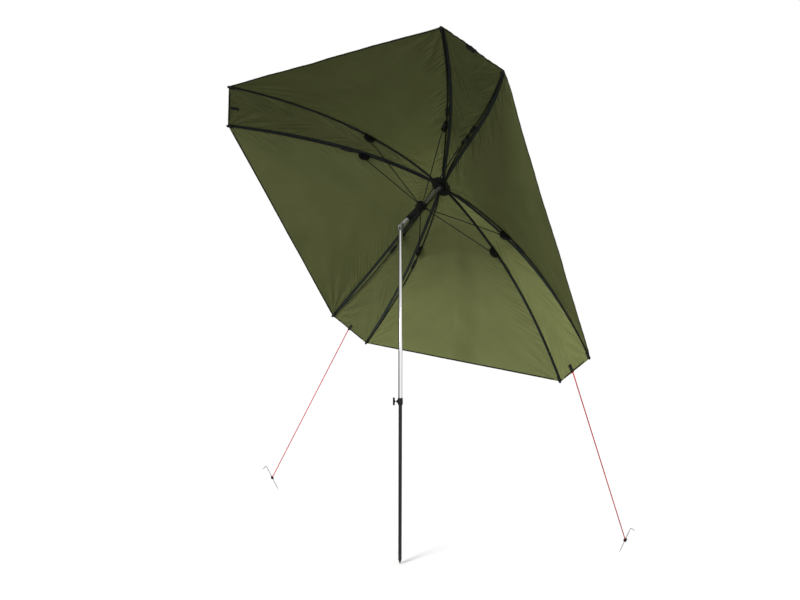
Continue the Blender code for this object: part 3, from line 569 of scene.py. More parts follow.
bore = LOWER_RADIUS - TUBE_WALL
spike = turned([
    (0, 0), (SPIKE_POINT, 0, (0, 0.2), (0.5, 1.2)), (LOWER_RADIUS * 0.97, SPIKE_LENGTH, (0, -1.2)),
    (LOWER_RADIUS, SPIKE_LENGTH, (0, -0.2)), (bore, SPIKE_LENGTH), (bore - PLAY, SPIKE_LENGTH + PLUG_LENGTH),
    (0, SPIKE_LENGTH + PLUG_LENGTH),
])
spike_paint = grained(
    "spike_paint", (0.013, 0.0135, 0.015), (0.06, 0.058, 0.055), 0.4, 0.5, 0.0, 700.0, 120.0
)
fitted("pressed_spike", spike, spike_paint, "lower_pole", ["spike_tip"], 30)


# Upper pole
# A bright drawn aluminium tube of 22 mm. It stands in the clamp collar and ends at the tilt joint.

UPPER_RADIUS = 0.0110

bright_tube = tube_finish("bright_tube", (0.86, 0.865, 0.87), (0.62, 0.62, 0.62), 0.20, 0.34, 1.0, 0.25)
low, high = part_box("upper_tube")
pole = tube(UPPER_RADIUS, TUBE_WALL, low.z, high.z)
fitted("upper_pole_tube", pole, bright_tube, "upper_pole", ["upper_tube"])


# Height clamp
# A black moulded collar pressed on the foot of the upper tube, with a side boss for the clamping
# screw. The screw is steel, and its black wing bar is turned by hand.

COLLAR_RADIUS = 0.0140
SOCKET_DEPTH = 0.010
SCREW_LEVEL = 0.9485
BOSS_RADIUS = 0.0057
BOSS_ROOT = 0.0118
BOSS_START = 0.0108
BOSS_REACH = 0.022
SCREW_RADIUS = 0.0025
THREAD_PITCH = 0.0008
KNOB_START = 0.0297
KNOB_END = 0.0410
KNOB_LENGTH = 0.042
KNOB_WIDTH = 0.009
KNOB_WAIST = 0.74
STUB_RADIUS = 0.0058


def shift(x, y, z):
    return Matrix.Translation((x, y, z))


def about(axis, degrees):
    return Matrix.Rotation(math.radians(degrees), 4, axis)


low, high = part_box("clamp_collar")
foot, head = low.z, high.z
guide = LOWER_RADIUS + PLAY
socket = UPPER_RADIUS + PLAY
screw_hole = SCREW_RADIUS + PLAY
along_screw = shift(0, 0, SCREW_LEVEL) @ about("Y", -90)
collar = turned([
    (guide, foot, (0, 0.6), (0.6, 0)),
    (COLLAR_RADIUS, foot, (-2.2, 0), (-1.4, 0.8), (0, 4), (0, 26), (-0.7, 26.6), (-0.7, 28.2), (0, 28.8)),
    (COLLAR_RADIUS, head, (0, -1.4), (-1, -0.2)), (socket, head, (0.4, 0), (0, -0.4)),
    (socket, head - SOCKET_DEPTH), (guide, head - SOCKET_DEPTH),
])
boss = turned([
    (screw_hole, BOSS_START), (BOSS_ROOT, BOSS_START, (0, 0), (-1.6, 3.2)),
    (BOSS_RADIUS, BOSS_REACH, (0.4, -1.4), (-0.8, 0)), (screw_hole, BOSS_REACH),
], 32, along_screw)
collar = add_forms(collar, boss)
for corner in range(4):
    web = block((0.0022, 0.0016, 0.020), (COLLAR_RADIUS, 0, foot + 0.0155), 0.0005)
    web.transform(about("Z", 45 + 90 * corner))
    collar = add_forms(collar, web)
fitted("moulded_collar", collar, black_moulding, "upper_pole", ["clamp_collar"], 35)

bright_steel = grained(
    "bright_steel", (0.52, 0.52, 0.51), (0.68, 0.68, 0.67), 0.22, 0.38, 1.0, 900.0, 60.0, 0.00004
)
screw_start = LOWER_RADIUS + PLAY
screw_outline = [(0, screw_start), (SCREW_RADIUS, screw_start, (-0.6, 0), (0, 0.6))]
thread = screw_start + 0.0012
while thread < KNOB_START - 0.0012:
    screw_outline.append((SCREW_RADIUS, thread, (0, 0), (-0.4, 0.4)))
    thread += THREAD_PITCH
screw_outline += [(SCREW_RADIUS, KNOB_START, (0, -0.4), (0, 4)), (0, KNOB_START, (0, 4))]
screw = turned(screw_outline, 24, along_screw)
fitted("clamping_screw", screw, bright_steel, "clamp_knob", ["clamp_screw"], 60)

wing = bmesh.new()
knob_size = (KNOB_LENGTH, KNOB_WIDTH, KNOB_END - KNOB_START)
bmesh.ops.create_cube(wing, size=1, matrix=Matrix.Diagonal((*knob_size, 1)))
long_edges = [e for e in wing.edges if abs((e.verts[0].co - e.verts[1].co).x) > KNOB_LENGTH / 2]
bmesh.ops.subdivide_edges(wing, edges=long_edges, cuts=7, use_grid_fill=True)
for vert in wing.verts:
    reach = abs(vert.co.x) / (KNOB_LENGTH / 2)
    waist = KNOB_WAIST + (1 - KNOB_WAIST) * min(1.0, reach * 1.6) ** 2
    vert.co.y *= waist
    vert.co.z *= 0.86 + 0.14 * waist
softened(wing, 0.0016, 3, 50)
middle = (KNOB_START + KNOB_END) / 2
wing.transform(shift(0, 0, middle))
stub = turned([
    (SCREW_RADIUS, KNOB_START, (0.2, -2)), (STUB_RADIUS, KNOB_START, (-0.6, -2), (0, -1.2)),
    (STUB_RADIUS, middle), (SCREW_RADIUS, middle, (0.2, 0)),
], 28)
wing = add_forms(wing, stub)
wing.transform(along_screw)
fitted("wing_bar", wing, black_moulding, "clamp_knob", ["wing_knob"], 35)


# Tilt joint
# Two cast ears on a plug in the upper tube hold the middle ear of the shaft's plug, on a headed pin.
# The castings are left grey and are rubbed bright round the pin.

EAR_RADIUS = 0.0095
EAR_THICKNESS = 0.0047
TONGUE_HALF = 0.0055
FORK_DEPTH = 0.018
SHOULDER = 0.004
JOINT_PLUG = 0.030
PIN_RADIUS = 0.0025
PIN_HEAD = 0.0016
PIN_HEAD_RADIUS = 0.0042
SHAFT_RADIUS = 0.0110
SHAFT_WALL = 0.0012

upright = Vector((0, 0, 1))
pole_way = pin_way.cross(shaft_way)
head_place = frame_matrix(pole_way, pin_way, shaft_way, tilt_centre)
post_place = frame_matrix(pin_way.cross(upright), pin_way, upright, tilt_centre)

grey_casting = grained(
    "grey_casting", (0.23, 0.23, 0.22), (0.34, 0.34, 0.33), 0.40, 0.55, 0.45, 260.0, 70.0, 0.00015, 0.5
)


def plate(points, way, edge, segments, sharper):
    """A plate cut along the points and thick along a way, with its sharper edges rounded."""
    form = bmesh.new()
    face = form.faces.new([form.verts.new(point) for point in points])
    out = bmesh.ops.extrude_face_region(form, geom=[face])["geom"]
    bmesh.ops.translate(form, verts=corners_of(out), vec=way)
    bmesh.ops.recalc_face_normals(form, faces=form.faces)
    return softened(form, edge, segments, sharper)


def cast_ear(near, far, foot):
    """An ear between two levels on Y, round about the origin, with straight sides down or up to its foot."""
    away = -EAR_RADIUS if foot > 0 else EAR_RADIUS
    angles = [math.pi * i / 24 for i in range(25)]
    arc = [(EAR_RADIUS * math.cos(angle), near, away * math.sin(angle)) for angle in angles]
    points = [(EAR_RADIUS, near, foot), *arc, (-EAR_RADIUS, near, foot)]
    return plate(points, (0, far - near, 0), 0.0007, 2, 50)


inner_face = TONGUE_HALF + PLAY
outer_face = inner_face + EAR_THICKNESS
bore = UPPER_RADIUS - TUBE_WALL - PLAY
fork_foot = -FORK_DEPTH - SHOULDER
fork = turned([
    (0, fork_foot - JOINT_PLUG), (bore, fork_foot - JOINT_PLUG), (bore, fork_foot),
    (UPPER_RADIUS, fork_foot, (0, 0.2)), (UPPER_RADIUS, -FORK_DEPTH, (0, -1), (-1, 0)), (0, -FORK_DEPTH),
])
for near, far in ((inner_face, outer_face), (-outer_face, -inner_face)):
    fork = add_forms(fork, cast_ear(near, far, -FORK_DEPTH - 0.001))
fork.transform(post_place)
fitted("cast_fork", fork, grey_casting, "upper_pole", ["tilt_fork"], 35)

end = outer_face + PLAY
pin = turned([
    (0, -end - PIN_HEAD), (PIN_HEAD_RADIUS, -end, (-1.2, -1.6), (0, -0.5), (0, 0)), (PIN_RADIUS, -end),
    (PIN_RADIUS, end), (PIN_HEAD_RADIUS, end, (0, 0), (0, 0.5), (-1.2, 1.6)), (0, end + PIN_HEAD),
], 32, post_place @ about("X", -90))
fitted("headed_pin", pin, grey_casting, "upper_pole", ["tilt_pin"], 35)

shaft_bore = SHAFT_RADIUS - SHAFT_WALL
shaft_plug = shaft_bore - PLAY
tongue_foot = FORK_DEPTH + 0.0006
shaft_foot = tongue_foot + SHOULDER
tongue = turned([
    (0, tongue_foot), (UPPER_RADIUS, tongue_foot, (-1, 0), (0, 1)), (UPPER_RADIUS, shaft_foot, (0, -0.2)),
    (shaft_plug, shaft_foot), (shaft_plug, shaft_foot + JOINT_PLUG), (0, shaft_foot + JOINT_PLUG),
])
tongue = add_forms(tongue, cast_ear(-TONGUE_HALF, TONGUE_HALF, tongue_foot + 0.001))
tongue.transform(head_place)
fitted("cast_tongue", tongue, grey_casting, "head", ["tilt_tongue"], 35)


# Shaft
# The upper tube's thicker-walled brother, on which the runner slides. It is dulled by the runner.

SHAFT_TOP = 0.4010

dull_tube = tube_finish("dull_tube", (0.55, 0.55, 0.55), (0.68, 0.68, 0.68), 0.34, 0.46, 0.55, 0.3)
shaft = tube(SHAFT_RADIUS, SHAFT_WALL, shaft_foot + PLAY, SHAFT_TOP, head_place, 0.3)
fitted("head_shaft", shaft, dull_tube, "head", ["shaft_tube"])


# Hub and cap
# A slotted black moulding pinned to the top of the shaft, with a wire ring for the rib eyes. The
# moulded cap is plugged into the shaft from above and closes the hole in the cloth.

HUB_RADIUS = 0.028
HUB_NECK = 0.0175
HUB_DEPTH = 0.0115
HUB_TOP = 0.0030
SLOT_HALF = 0.0015
RIB_RING = 0.022
WIRE_RADIUS = 0.001
CAP_RADIUS = 0.024
CAP_PLUG = 0.012
CLOTH_TOP = 0.0067

hub_place = head_place @ shift(0, 0, HUB_HEIGHT)
shaft_guide = SHAFT_RADIUS + PLAY
rib_azimuths = []
for joint in rib_joints:
    out = Vector(joint["axis"]).cross(shaft_way)
    rib_azimuths.append(math.atan2(out.dot(pin_way), out.dot(pole_way)) % math.tau)
rib_azimuths.sort()


def fingered_disc(radius, neck, bottom, top):
    """A moulded disc made of a plain core and eight pairs of cheeks, with a leaf's slot between each."""
    forms = [turned([
        (shaft_guide, bottom), (neck, bottom, (-0.8, 0), (0, 0.8)), (neck, top, (0, -0.8), (-0.8, 0)),
        (shaft_guide, top),
    ])]
    for azimuth, after in zip(rib_azimuths, rib_azimuths[1:] + rib_azimuths[:1]):
        gap = (after - azimuth) % math.tau
        steps = max(2, round(gap / math.radians(9)))
        shares = [i / steps for i in range(steps + 1)]
        points = []
        for rim, slot, way in ((radius, radius, shares), (neck - 0.001, neck, shares[::-1])):
            half = math.asin(SLOT_HALF / slot)
            for share in way:
                angle = azimuth + half + (gap - 2 * half) * share
                points.append((rim * math.cos(angle), rim * math.sin(angle), bottom))
        forms.append(plate(points, (0, 0, top - bottom), 0.0006, 2, 45))
    return add_forms(*forms)


def wire_ring(radius, place):
    angles = [math.tau * i / 10 for i in range(10)]
    outline = [(radius + WIRE_RADIUS * math.cos(a), WIRE_RADIUS * math.sin(a)) for a in angles]
    return turned(outline, 64, place)


hub = fingered_disc(HUB_RADIUS, HUB_NECK, -HUB_DEPTH, HUB_TOP)
hub.transform(hub_place)
fitted("slotted_hub", hub, black_moulding, "head", ["hub"], 35)
fitted("hub_wire", wire_ring(RIB_RING, hub_place), bright_steel, "head", ["hub_ring"], 60)

under_cap = CLOTH_TOP + PLAY
cap = turned([
    (0, HUB_TOP - CAP_PLUG), (shaft_plug, HUB_TOP - CAP_PLUG), (shaft_plug, under_cap),
    (CAP_RADIUS, under_cap, (-0.4, 0), (0, 0.4), (0, 3), (-0.72, 4.2), (-3.36, 6), (-8.16, 7.6)),
    (CAP_RADIUS, under_cap, (-15.36, 8.6)), (0, under_cap, (0, 9)),
], 64, hub_place)
fitted("moulded_cap", cap, black_moulding, "head", ["top_cap"], 50)


# Runner
# A slotted black crown that carries the stretchers on a wire ring, over a moulded sleeve that is
# pushed up the shaft by hand. A dark green trigger in its neck lets it down again.

CROWN_DROP = 0.196
CROWN_RADIUS = 0.029
CROWN_NECK = 0.0190
CROWN_BOTTOM = -0.007
CROWN_TOP = 0.0045
STRETCHER_RING = 0.024
SLEEVE_RADIUS = 0.0165
NECK_RADIUS = 0.0225
SLEEVE_LENGTH = 0.132
GRIP_START = 0.046
GRIP_PITCH = 0.0075
GRIP_COUNT = 10
TRIGGER_SIZE = (0.0110, 0.0130, 0.0200)
TRIGGER_RIDGE = (0.0012, 0.0100, 0.0014)
TRIGGER_AZIMUTH = 150
TRIGGER_AT = (0.0210, 0, -0.028)

crown_place = head_place @ shift(0, 0, HUB_HEIGHT - CROWN_DROP)
crown = fingered_disc(CROWN_RADIUS, CROWN_NECK, CROWN_BOTTOM, CROWN_TOP)
crown.transform(crown_place)
fitted("slotted_crown", crown, black_moulding, "runner", ["runner_crown"], 35)
ring = wire_ring(STRETCHER_RING, crown_place)
fitted("crown_wire", ring, bright_steel, "runner", ["runner_ring"], 60)

sleeve_top = CROWN_BOTTOM - PLAY
sleeve_bottom = sleeve_top - SLEEVE_LENGTH
grips = [
    (SLEEVE_RADIUS, sleeve_top - GRIP_START - GRIP_PITCH * k, (0, -1.8), (-1.1, -1), (-1.1, 1), (0, 1.8))
    for k in reversed(range(GRIP_COUNT))
]
sleeve = turned([
    (shaft_guide, sleeve_top), (shaft_guide, sleeve_bottom),
    (SLEEVE_RADIUS, sleeve_bottom, (-1.6, 0), (-0.4, 0.8), (0, 2), (0, 6)), *grips,
    (SLEEVE_RADIUS, sleeve_top, (0, -36), (0.6, -30), (2.4, -18)),
    (NECK_RADIUS, sleeve_top, (-1.8, -8), (0, -4), (0, -0.6), (-0.6, 0)),
], 56, crown_place)
fitted("grip_sleeve", sleeve, black_moulding, "runner", ["runner_sleeve"], 35)

green_moulding = grained(
    "green_moulding", (0.022, 0.050, 0.012), (0.034, 0.072, 0.018), 0.36, 0.5, 0.0, 900.0, 40.0
)
trigger = ridged(TRIGGER_SIZE, TRIGGER_RIDGE, 0.0056, 0.005, 0.0004)
trigger.transform(crown_place @ about("Z", TRIGGER_AZIMUTH) @ shift(*TRIGGER_AT))
fitted("green_trigger", trigger, green_moulding, "trigger", ["runner_trigger"], 35)


# Ribs
# Dark glass-fibre rods, bent by the cloth they stretch. A flattened leaf with an eye sits on the hub's
# ring, a flattened moulded sleeve joins the thick rod to the thin one, and a bead ends it in the hem.

ROD_RADIUS = 0.0035
TIP_RADIUS = 0.0032
# Bow and sway of each rod
ROD_BOW = {
    1: (-0.033, 0.002), 2: (-0.015, 0.008), 3: (-0.014, 0.0), 4: (0.023, -0.002),
    5: (-0.031, -0.004), 6: (-0.019, -0.009), 7: (-0.039, 0.003), 8: (0.001, 0.004),
}
LEAF = (0.0010, 0.0035)
LEAF_END = RIB_RING + 0.014
JOINER = (0.0085, 0.0044)
JOINER_START = 0.536
JOINER_END = 0.604
BEAD_START = RIB_REACH - 0.018
FITTING_RADIUS = 0.0044
FITTING_TOP = 0.0034


def smooth(value):
    value = min(1.0, max(0.0, value))
    return value * value * (3 - 2 * value)


def aside(number, r, bows):
    """How far a rod or seam lies to the side of its rib's own plane at r. It leans to its corner, bows
    by the first figure of its pair and sways by the second."""
    share = min(max(r / RIB_REACH, 0.0), 1.0)
    bend, sway = bows[number]
    bent = bend * math.sin(math.pi * share) ** 0.8 if 0 < share < 1 else 0.0
    return smooth((r - 0.03) / 0.10) * (TIP_ASIDE[number] * share + bent + sway * math.sin(math.tau * share))


def on_rod(number, r, rise=0.0):
    return rib_line(r, rise) + Vector((0, aside(number, r, ROD_BOW), 0))


# Fine lengthwise fibres of a rod, and slow patches of gloss.
rod_fibres, given, made = new_group("rod_fibres", {}, ["Fibres", "Patches"])
lengthwise = stretched(rod_fibres, given["Vector"], (6.0, 60.0, 1.0))
put(rod_fibres, made["Fibres"], cloudy(rod_fibres, lengthwise, 1.0))
put(rod_fibres, made["Patches"], cloudy(rod_fibres, given["Vector"], 14.0, 2.0))

dark_fibre, tree = new_material("dark_fibre", (0.008, 0.010, 0.009))
out = use_group(tree, rod_fibres, Vector=coordinates(tree))
fibre = blended(tree, out["Fibres"], (0.005, 0.006, 0.006), (0.012, 0.015, 0.014))
gloss = calc(tree, "MULTIPLY_ADD", out["Patches"], 0.18, 0.30)
dress(tree, fibre, gloss, raised(tree, out["Fibres"], 0.2, 0.00005))

rib_steps = [
    (RIB_RING - 0.0042, (0.0006, 0.0016)), (RIB_RING - 0.0036, (0.0010, 0.0028)), (RIB_RING - 0.0015, LEAF),
    (LEAF_END - 0.006, LEAF), (LEAF_END - 0.002, (0.0022, 0.0032)), (LEAF_END, ROD_RADIUS),
    *[(0.045 + 0.0262 * i, ROD_RADIUS) for i in range(19)],
    (JOINER_START - 0.0006, ROD_RADIUS), (JOINER_START, FITTING_RADIUS - 0.0004),
    (JOINER_START + 0.012, JOINER), (JOINER_END - 0.008, JOINER), (JOINER_END - 0.001, (0.0066, 0.0040)),
    (JOINER_END, TIP_RADIUS), *[(0.620 + 0.0270 * i, TIP_RADIUS) for i in range(20)],
    (BEAD_START, TIP_RADIUS), (BEAD_START + 0.0015, FITTING_RADIUS - 0.0008),
    (BEAD_START + 0.003, FITTING_RADIUS), (RIB_REACH, FITTING_RADIUS),
    (RIB_REACH + 0.0018, FITTING_RADIUS - 0.0010), (RIB_REACH + 0.0030, 0.0020),
]
for number in range(1, 9):
    rib_points = []
    for r, size in rib_steps:
        tall = size[1] if isinstance(size, tuple) else size
        hang = max(tall - FITTING_TOP, 0) if r > LEAF_END else 0
        rib_points.append(on_rod(number, r, -hang))
    rod = drawn(rib_points, [size for _, size in rib_steps], 14)
    rod.transform(rib_frame(number))
    fitted(f"fibre_rod_{number}", rod, dark_fibre, f"rib_side_{number}", [f"rib_{number}"], 50)


# Rib joints
# Black half-moon mouldings clipped on the ribs. A sleeve runs along the rod, and two thin cheeks
# below it hold the flattened end of the stretcher on a short pin.

JOINT_AT = 0.470
JOINT_RADIUS = 0.033
JOINT_HALF = 0.007
JOINT_SLOT_HALF = 0.0018
CLIP_BORE = 0.0031
CLIP_RADIUS = 0.0047
CLIP_HALF = 0.031
CLIP_TOP = 0.0040
SPINE_SIZE = (0.030, 2 * JOINT_SLOT_HALF + 0.001, 0.022)
SPINE_AT = (0.0165, 0, -0.0135)
PIVOT_BACK = 0.0096
PIVOT_DOWN = 0.0272
PIVOT_RADIUS = 0.0012
PIVOT_HEAD_RADIUS = 0.0028
PIVOT_HALF = 0.0076

joint_pivot = Vector((-PIVOT_BACK, 0, -PIVOT_DOWN))
joint_places = {}
for number in range(1, 9):
    beyond = aside(number, JOINT_AT + JOINT_RADIUS, ROD_BOW)
    short = aside(number, JOINT_AT - JOINT_RADIUS, ROD_BOW)
    joint_places[number] = (
        Matrix.Translation(rib_line(JOINT_AT) + Vector((0, (beyond + short) / 2, 0)))
        @ Matrix.Rotation(math.atan((beyond - short) / (2 * JOINT_RADIUS)), 4, "Z")
        @ Matrix.Rotation(rib_slope(JOINT_AT), 4, "Y")
    )


def half_moon(near, far):
    """A half-moon cheek between two levels on Y, flat along the rod and round below it."""
    angles = [-math.pi * i / 28 for i in range(29)]
    arc = [(JOINT_RADIUS * math.cos(a), near, JOINT_RADIUS * math.sin(a) - ROD_RADIUS) for a in angles]
    points = [(JOINT_RADIUS, near, -0.0005), *arc, (-JOINT_RADIUS, near, -0.0005)]
    return plate(points, (0, far - near, 0), 0.0012, 3, 40)


def moulded_joint():
    spine = block(SPINE_SIZE, SPINE_AT, 0.0005, 1)
    clip = turned([
        (CLIP_BORE, -CLIP_HALF), (CLIP_RADIUS, -CLIP_HALF, (-0.5, 0), (0, 1)),
        (CLIP_RADIUS, CLIP_HALF, (0, -1), (-0.5, 0)), (CLIP_BORE, CLIP_HALF),
    ], 32, about("Y", 90))
    for vert in clip.verts:
        vert.co.z = min(vert.co.z, CLIP_TOP)
    pivot = turned([
        (0, -PIVOT_HALF), (PIVOT_HEAD_RADIUS, -PIVOT_HALF, (-0.6, 0), (0, 0.5)),
        (PIVOT_RADIUS, -PIVOT_HALF, (0, 0.7)), (PIVOT_RADIUS, PIVOT_HALF, (0, -0.7)),
        (PIVOT_HEAD_RADIUS, PIVOT_HALF, (0, -0.5), (-0.6, 0)), (0, PIVOT_HALF),
    ], 20, shift(*joint_pivot) @ about("X", -90))
    cheeks = [half_moon(JOINT_SLOT_HALF, JOINT_HALF), half_moon(-JOINT_HALF, -JOINT_SLOT_HALF)]
    return add_forms(*cheeks, spine, clip, pivot)


joint_moulding = grained(
    "joint_moulding", (0.006, 0.007, 0.007), (0.014, 0.015, 0.015), 0.32, 0.48, 0.0, 700.0, 45.0
)
for number in range(1, 9):
    moon = moulded_joint()
    moon.transform(rib_frame(number) @ joint_places[number])
    node = f"rib_joint_{number}"
    fitted(f"half_moon_{number}", moon, joint_moulding, f"rib_side_{number}", [node], 35)


# Stretchers
# Black powder-coated steel rods of 5 mm, flattened at both ends, from the crown's ring to the pins of
# the rib joints.

STRETCHER_RADIUS = 0.0025
FLAT = (0.0010, 0.0032)
EYE = [(0.001, FLAT), (0.0034, (0.0010, 0.0027)), (0.0042, (0.0006, 0.0016))]

powder_coat = grained(
    "powder_coat", (0.005, 0.006, 0.006), (0.010, 0.011, 0.011), 0.40, 0.55, 0.0, 1200.0, 12.0, 0.00006, 0.3
)
inner_pivot = Vector((STRETCHER_RING, 0, -CROWN_DROP))
strut = rib_line(JOINT_AT) + Matrix.Rotation(rib_slope(JOINT_AT), 3, "Y") @ joint_pivot - inner_pivot
reach = strut.length
strut_steps = [
    *[(-past, size) for past, size in reversed(EYE)], (0.007, FLAT), (0.0125, STRETCHER_RADIUS),
    *[(0.02 + (reach - 0.066) * i / 12, STRETCHER_RADIUS) for i in range(13)],
    (reach - 0.040, STRETCHER_RADIUS), (reach - 0.033, (0.0012, 0.0031)), (reach - 0.010, FLAT),
    *[(reach + past, size) for past, size in EYE],
]
for number in range(1, 9):
    outer_pivot = joint_places[number] @ joint_pivot
    strut_points = []
    for at, _ in strut_steps:
        point = inner_pivot.lerp(outer_pivot, at / reach)
        point.y = outer_pivot.y * min(max((at - 0.020) / (reach - 0.065), 0.0), 1.0)
        strut_points.append(point)
    rod = drawn(strut_points, [size for _, size in strut_steps], 12)
    rod.transform(rib_frame(number))
    body = f"stretcher_side_{number}"
    fitted(f"stretcher_rod_{number}", rod, powder_coat, body, [f"stretcher_{number}"], 50)


# Canopy cloth
# Eight gores of coated olive polyester in a plain weave, sewn together along the ribs. The bent ribs
# pull the cloth tight, so it is straight from rib to rib, a little hollow between them, puckered
# along the seams and creased in fans from the corners.

CLOTH_HOLE = 0.0135
CLOTH_THICKNESS = 0.0009
WIDE_GAP = math.radians(90) - PAIR_GAP
WIDE_CELLS = 56
NARROW_CELLS = 22
LONG_CELLS = 150
CROWDED = 1.45
# Bow and sway of each seam
SEAM_BOW = {
    1: (-0.007, 0.006), 2: (0.010, 0.003), 3: (-0.006, 0.001), 4: (0.019, -0.002),
    5: (-0.019, -0.002), 6: (0.0, -0.007), 7: (0.002, 0.002), 8: (0.012, 0.003),
}
SEAM_LIFT = 0.08
# Of a wide and a narrow panel: hollow, size of the waves, pitch and height along the hem, gathers
SLACK = {True: (0.014, 1.0, 0.056, 0.0004, 10), False: (0.003, 0.6, 0.030, 0.0007, 2)}
PUCKER_PITCH = 0.030
PUCKER_HEIGHT = 0.0042
RAY_COUNT = 13
RAY_HEIGHT = 0.0055
GATHER_HEIGHT = 0.0042
BROAD_HEIGHT = 0.0045
FOLD_HEIGHT = 0.0022
CLOTH_DARK = (0.148, 0.164, 0.059)
CLOTH_LIGHT = (0.174, 0.192, 0.072)
# Of the panel after each rib: a factor of painted light and shade on its colour, how wrinkled it is, and
# painted light on its colour near the hub
PANEL_SHADES = {1: 0.81, 2: 1.09, 3: 0.93, 4: 1.20, 5: 0.78, 6: 0.81, 7: 1.25, 8: 0.89}
WRINKLED = {1: 0.6, 2: 0.7, 3: 1.0, 4: 1.0, 5: 1.1, 6: 1.7, 7: 0.6, 8: 0.65}
# Painted light near the hub: a factor on each panel's colour there
PAINTED_HUB_LIGHT = {1: 1.5, 2: 1.3, 3: 1.3, 4: 1.42, 5: 1.6, 6: 1.5, 7: 1.7, 8: 1.75}
# Painted shade towards the hem, as a factor on the cloth's colour
HEM_SHADE = 0.88
CREASE_TURNS = (0.98, 0.35)
CREASE_PITCH = 0.0135
CREASE_LENGTH = 0.14
CREASE_REACH = 0.24
# Painted light and shade of the creases, as a factor on the cloth's colour
CREASE_SHADE = 0.27

# Plain weave on a UV map in metres: height of the threads, their slubs, and slow stains.
plain_weave, given, made = new_group("plain_weave", {"Threads": 1100.0}, ["Height", "Slubs", "Patches"])
counted = {0: given["Vector"], "Scale": given["Threads"]}
split = split_up(plain_weave, add_node(plain_weave, "VectorMath", counted, operation="SCALE").outputs[0])
warp, weft = [calc(plain_weave, "SINE", calc(plain_weave, "MULTIPLY", split[axis], math.pi)) for axis in "XY"]
over = calc(plain_weave, "MULTIPLY", warp, weft)
lengthwise = stretched(plain_weave, given["Vector"], (9.0, 260.0, 1.0))
put(plain_weave, made["Height"], calc(plain_weave, "MULTIPLY_ADD", over, 0.5, 0.5))
put(plain_weave, made["Slubs"], cloudy(plain_weave, lengthwise, 1.0, 2.0, 0.35, 0.75))
put(plain_weave, made["Patches"], cloudy(plain_weave, given["Vector"], 5.0, 4.0, 0.35, 0.68))

# Creases beside a seam, on a UV map in metres along and across it: long irregular streaks that run
# from the hem side of the seam into the panel, at the angle Turn to the seam, and die out. They bump the
# cloth, and they are also painted on its colour as light and shade.
seam_creases, given, made = new_group("seam_creases", {"Turn": 0.7}, ["Waves"])
split = split_up(seam_creases, given["Vector"])
away = calc(seam_creases, "ABSOLUTE", split["Y"])
aslant = calc(seam_creases, "SINE", given["Turn"])
straight = calc(seam_creases, "COSINE", given["Turn"])
outward = calc(seam_creases, "MULTIPLY", split["X"], straight)
inward = calc(seam_creases, "SUBTRACT", calc(seam_creases, "MULTIPLY", away, aslant), outward)
slanted = calc(seam_creases, "MULTIPLY", split["X"], aslant)
sideways = calc(seam_creases, "ADD", calc(seam_creases, "MULTIPLY", away, straight), slanted)
streak = add_node(seam_creases, "CombineXYZ", {
    "X": calc(seam_creases, "DIVIDE", inward, CREASE_LENGTH),
    "Y": calc(seam_creases, "DIVIDE", sideways, CREASE_PITCH),
    "Z": calc(seam_creases, "SIGN", split["Y"]),
})
streaks = cloudy(seam_creases, streak.outputs[0], 1.0, 1.0, 0.34, 0.66)
ripple = calc(seam_creases, "MULTIPLY_ADD", streaks, 2.0, -1.0)
strong = cloudy(seam_creases, given["Vector"], 6.0, 2.0, 0.36, 0.54)
fade = ranged(seam_creases, away, -0.06, CREASE_REACH, 1.0, 0.0, "SMOOTHERSTEP")
waves = calc(seam_creases, "MULTIPLY", ripple, strong)
put(seam_creases, made["Waves"], calc(seam_creases, "MULTIPLY", waves, fade))


def woven_colour(tree, weave, dark, light):
    """Slubs and slow patches as two tones of a cloth's colour."""
    patches = calc(tree, "MULTIPLY", weave["Patches"], 0.65)
    return blended(tree, calc(tree, "MULTIPLY_ADD", weave["Slubs"], 0.35, patches), dark, light)


def woven(name, dark, light, threads, depth):
    """A woven finish in two tones, with its threads as bump."""
    material, tree = new_material(name, dark)
    weave = use_group(tree, plain_weave, Vector=coordinates(tree), Threads=threads)
    bump = raised(tree, weave["Height"], 0.35, depth)
    dress(tree, woven_colour(tree, weave, dark, light), 0.68, bump, specular=0.15)
    return material


def neighbour(number, step):
    return (number - 1 + step) % 8 + 1


def canopy_finish(number):
    """The cloth of one gore. Each panel's colour is scaled by its own factor of painted light and shade. All
    are darker towards the hem in painted shade, lighter towards the hub in painted light, and painted lighter
    and darker along the creases."""
    material, tree = new_material(f"canopy_polyester_{number}", CLOTH_DARK)
    place = coordinates(tree)
    weave = use_group(tree, plain_weave, Vector=place, Threads=1400.0)
    split = split_up(tree, place)
    after = calc(tree, "GREATER_THAN", split["Y"], 0.0)
    pairs = [CREASE_TURNS if number % 2 == 1 else CREASE_TURNS[::-1]]
    pairs += [(table[neighbour(number, -1)], table[number]) for table in (WRINKLED, PANEL_SHADES, PAINTED_HUB_LIGHT)]
    turn, wrinkled, panel_shade, hub_light = [
        calc(tree, "MULTIPLY_ADD", after, second - first, first) for first, second in pairs
    ]
    waves = use_group(tree, seam_creases, Vector=place, Turn=turn)["Waves"]
    waves = calc(tree, "MULTIPLY", waves, wrinkled)
    # Painted shade towards the hem, times the panel's own factor of painted light and shade
    depth = calc(tree, "MULTIPLY", ranged(tree, split["X"], 0.45, 1.15, 1.0, HEM_SHADE, "SMOOTHSTEP"), panel_shade)
    # Painted light on the cloth near the hub
    depth = calc(tree, "MULTIPLY", depth, ranged(tree, split["X"], 0.0, 0.55, hub_light, 1.0, "SMOOTHSTEP"))
    # Painted light and shade along the creases
    depth = calc(tree, "MULTIPLY", depth, calc(tree, "MULTIPLY_ADD", waves, CREASE_SHADE, 1.0))
    cloth = woven_colour(tree, weave, CLOTH_DARK, CLOTH_LIGHT)
    bump = raised(tree, weave["Height"], 0.35, 0.0002)
    put(tree, bump.inputs["Normal"], raised(tree, waves, 0.8, 0.0015).outputs["Normal"])
    dress(tree, blended(tree, 1.0, cloth, depth, "MULTIPLY"), 0.62, bump, specular=0.15)
    return material


def drift(x, y, z):
    return noise.noise(Vector((x, y, z)))


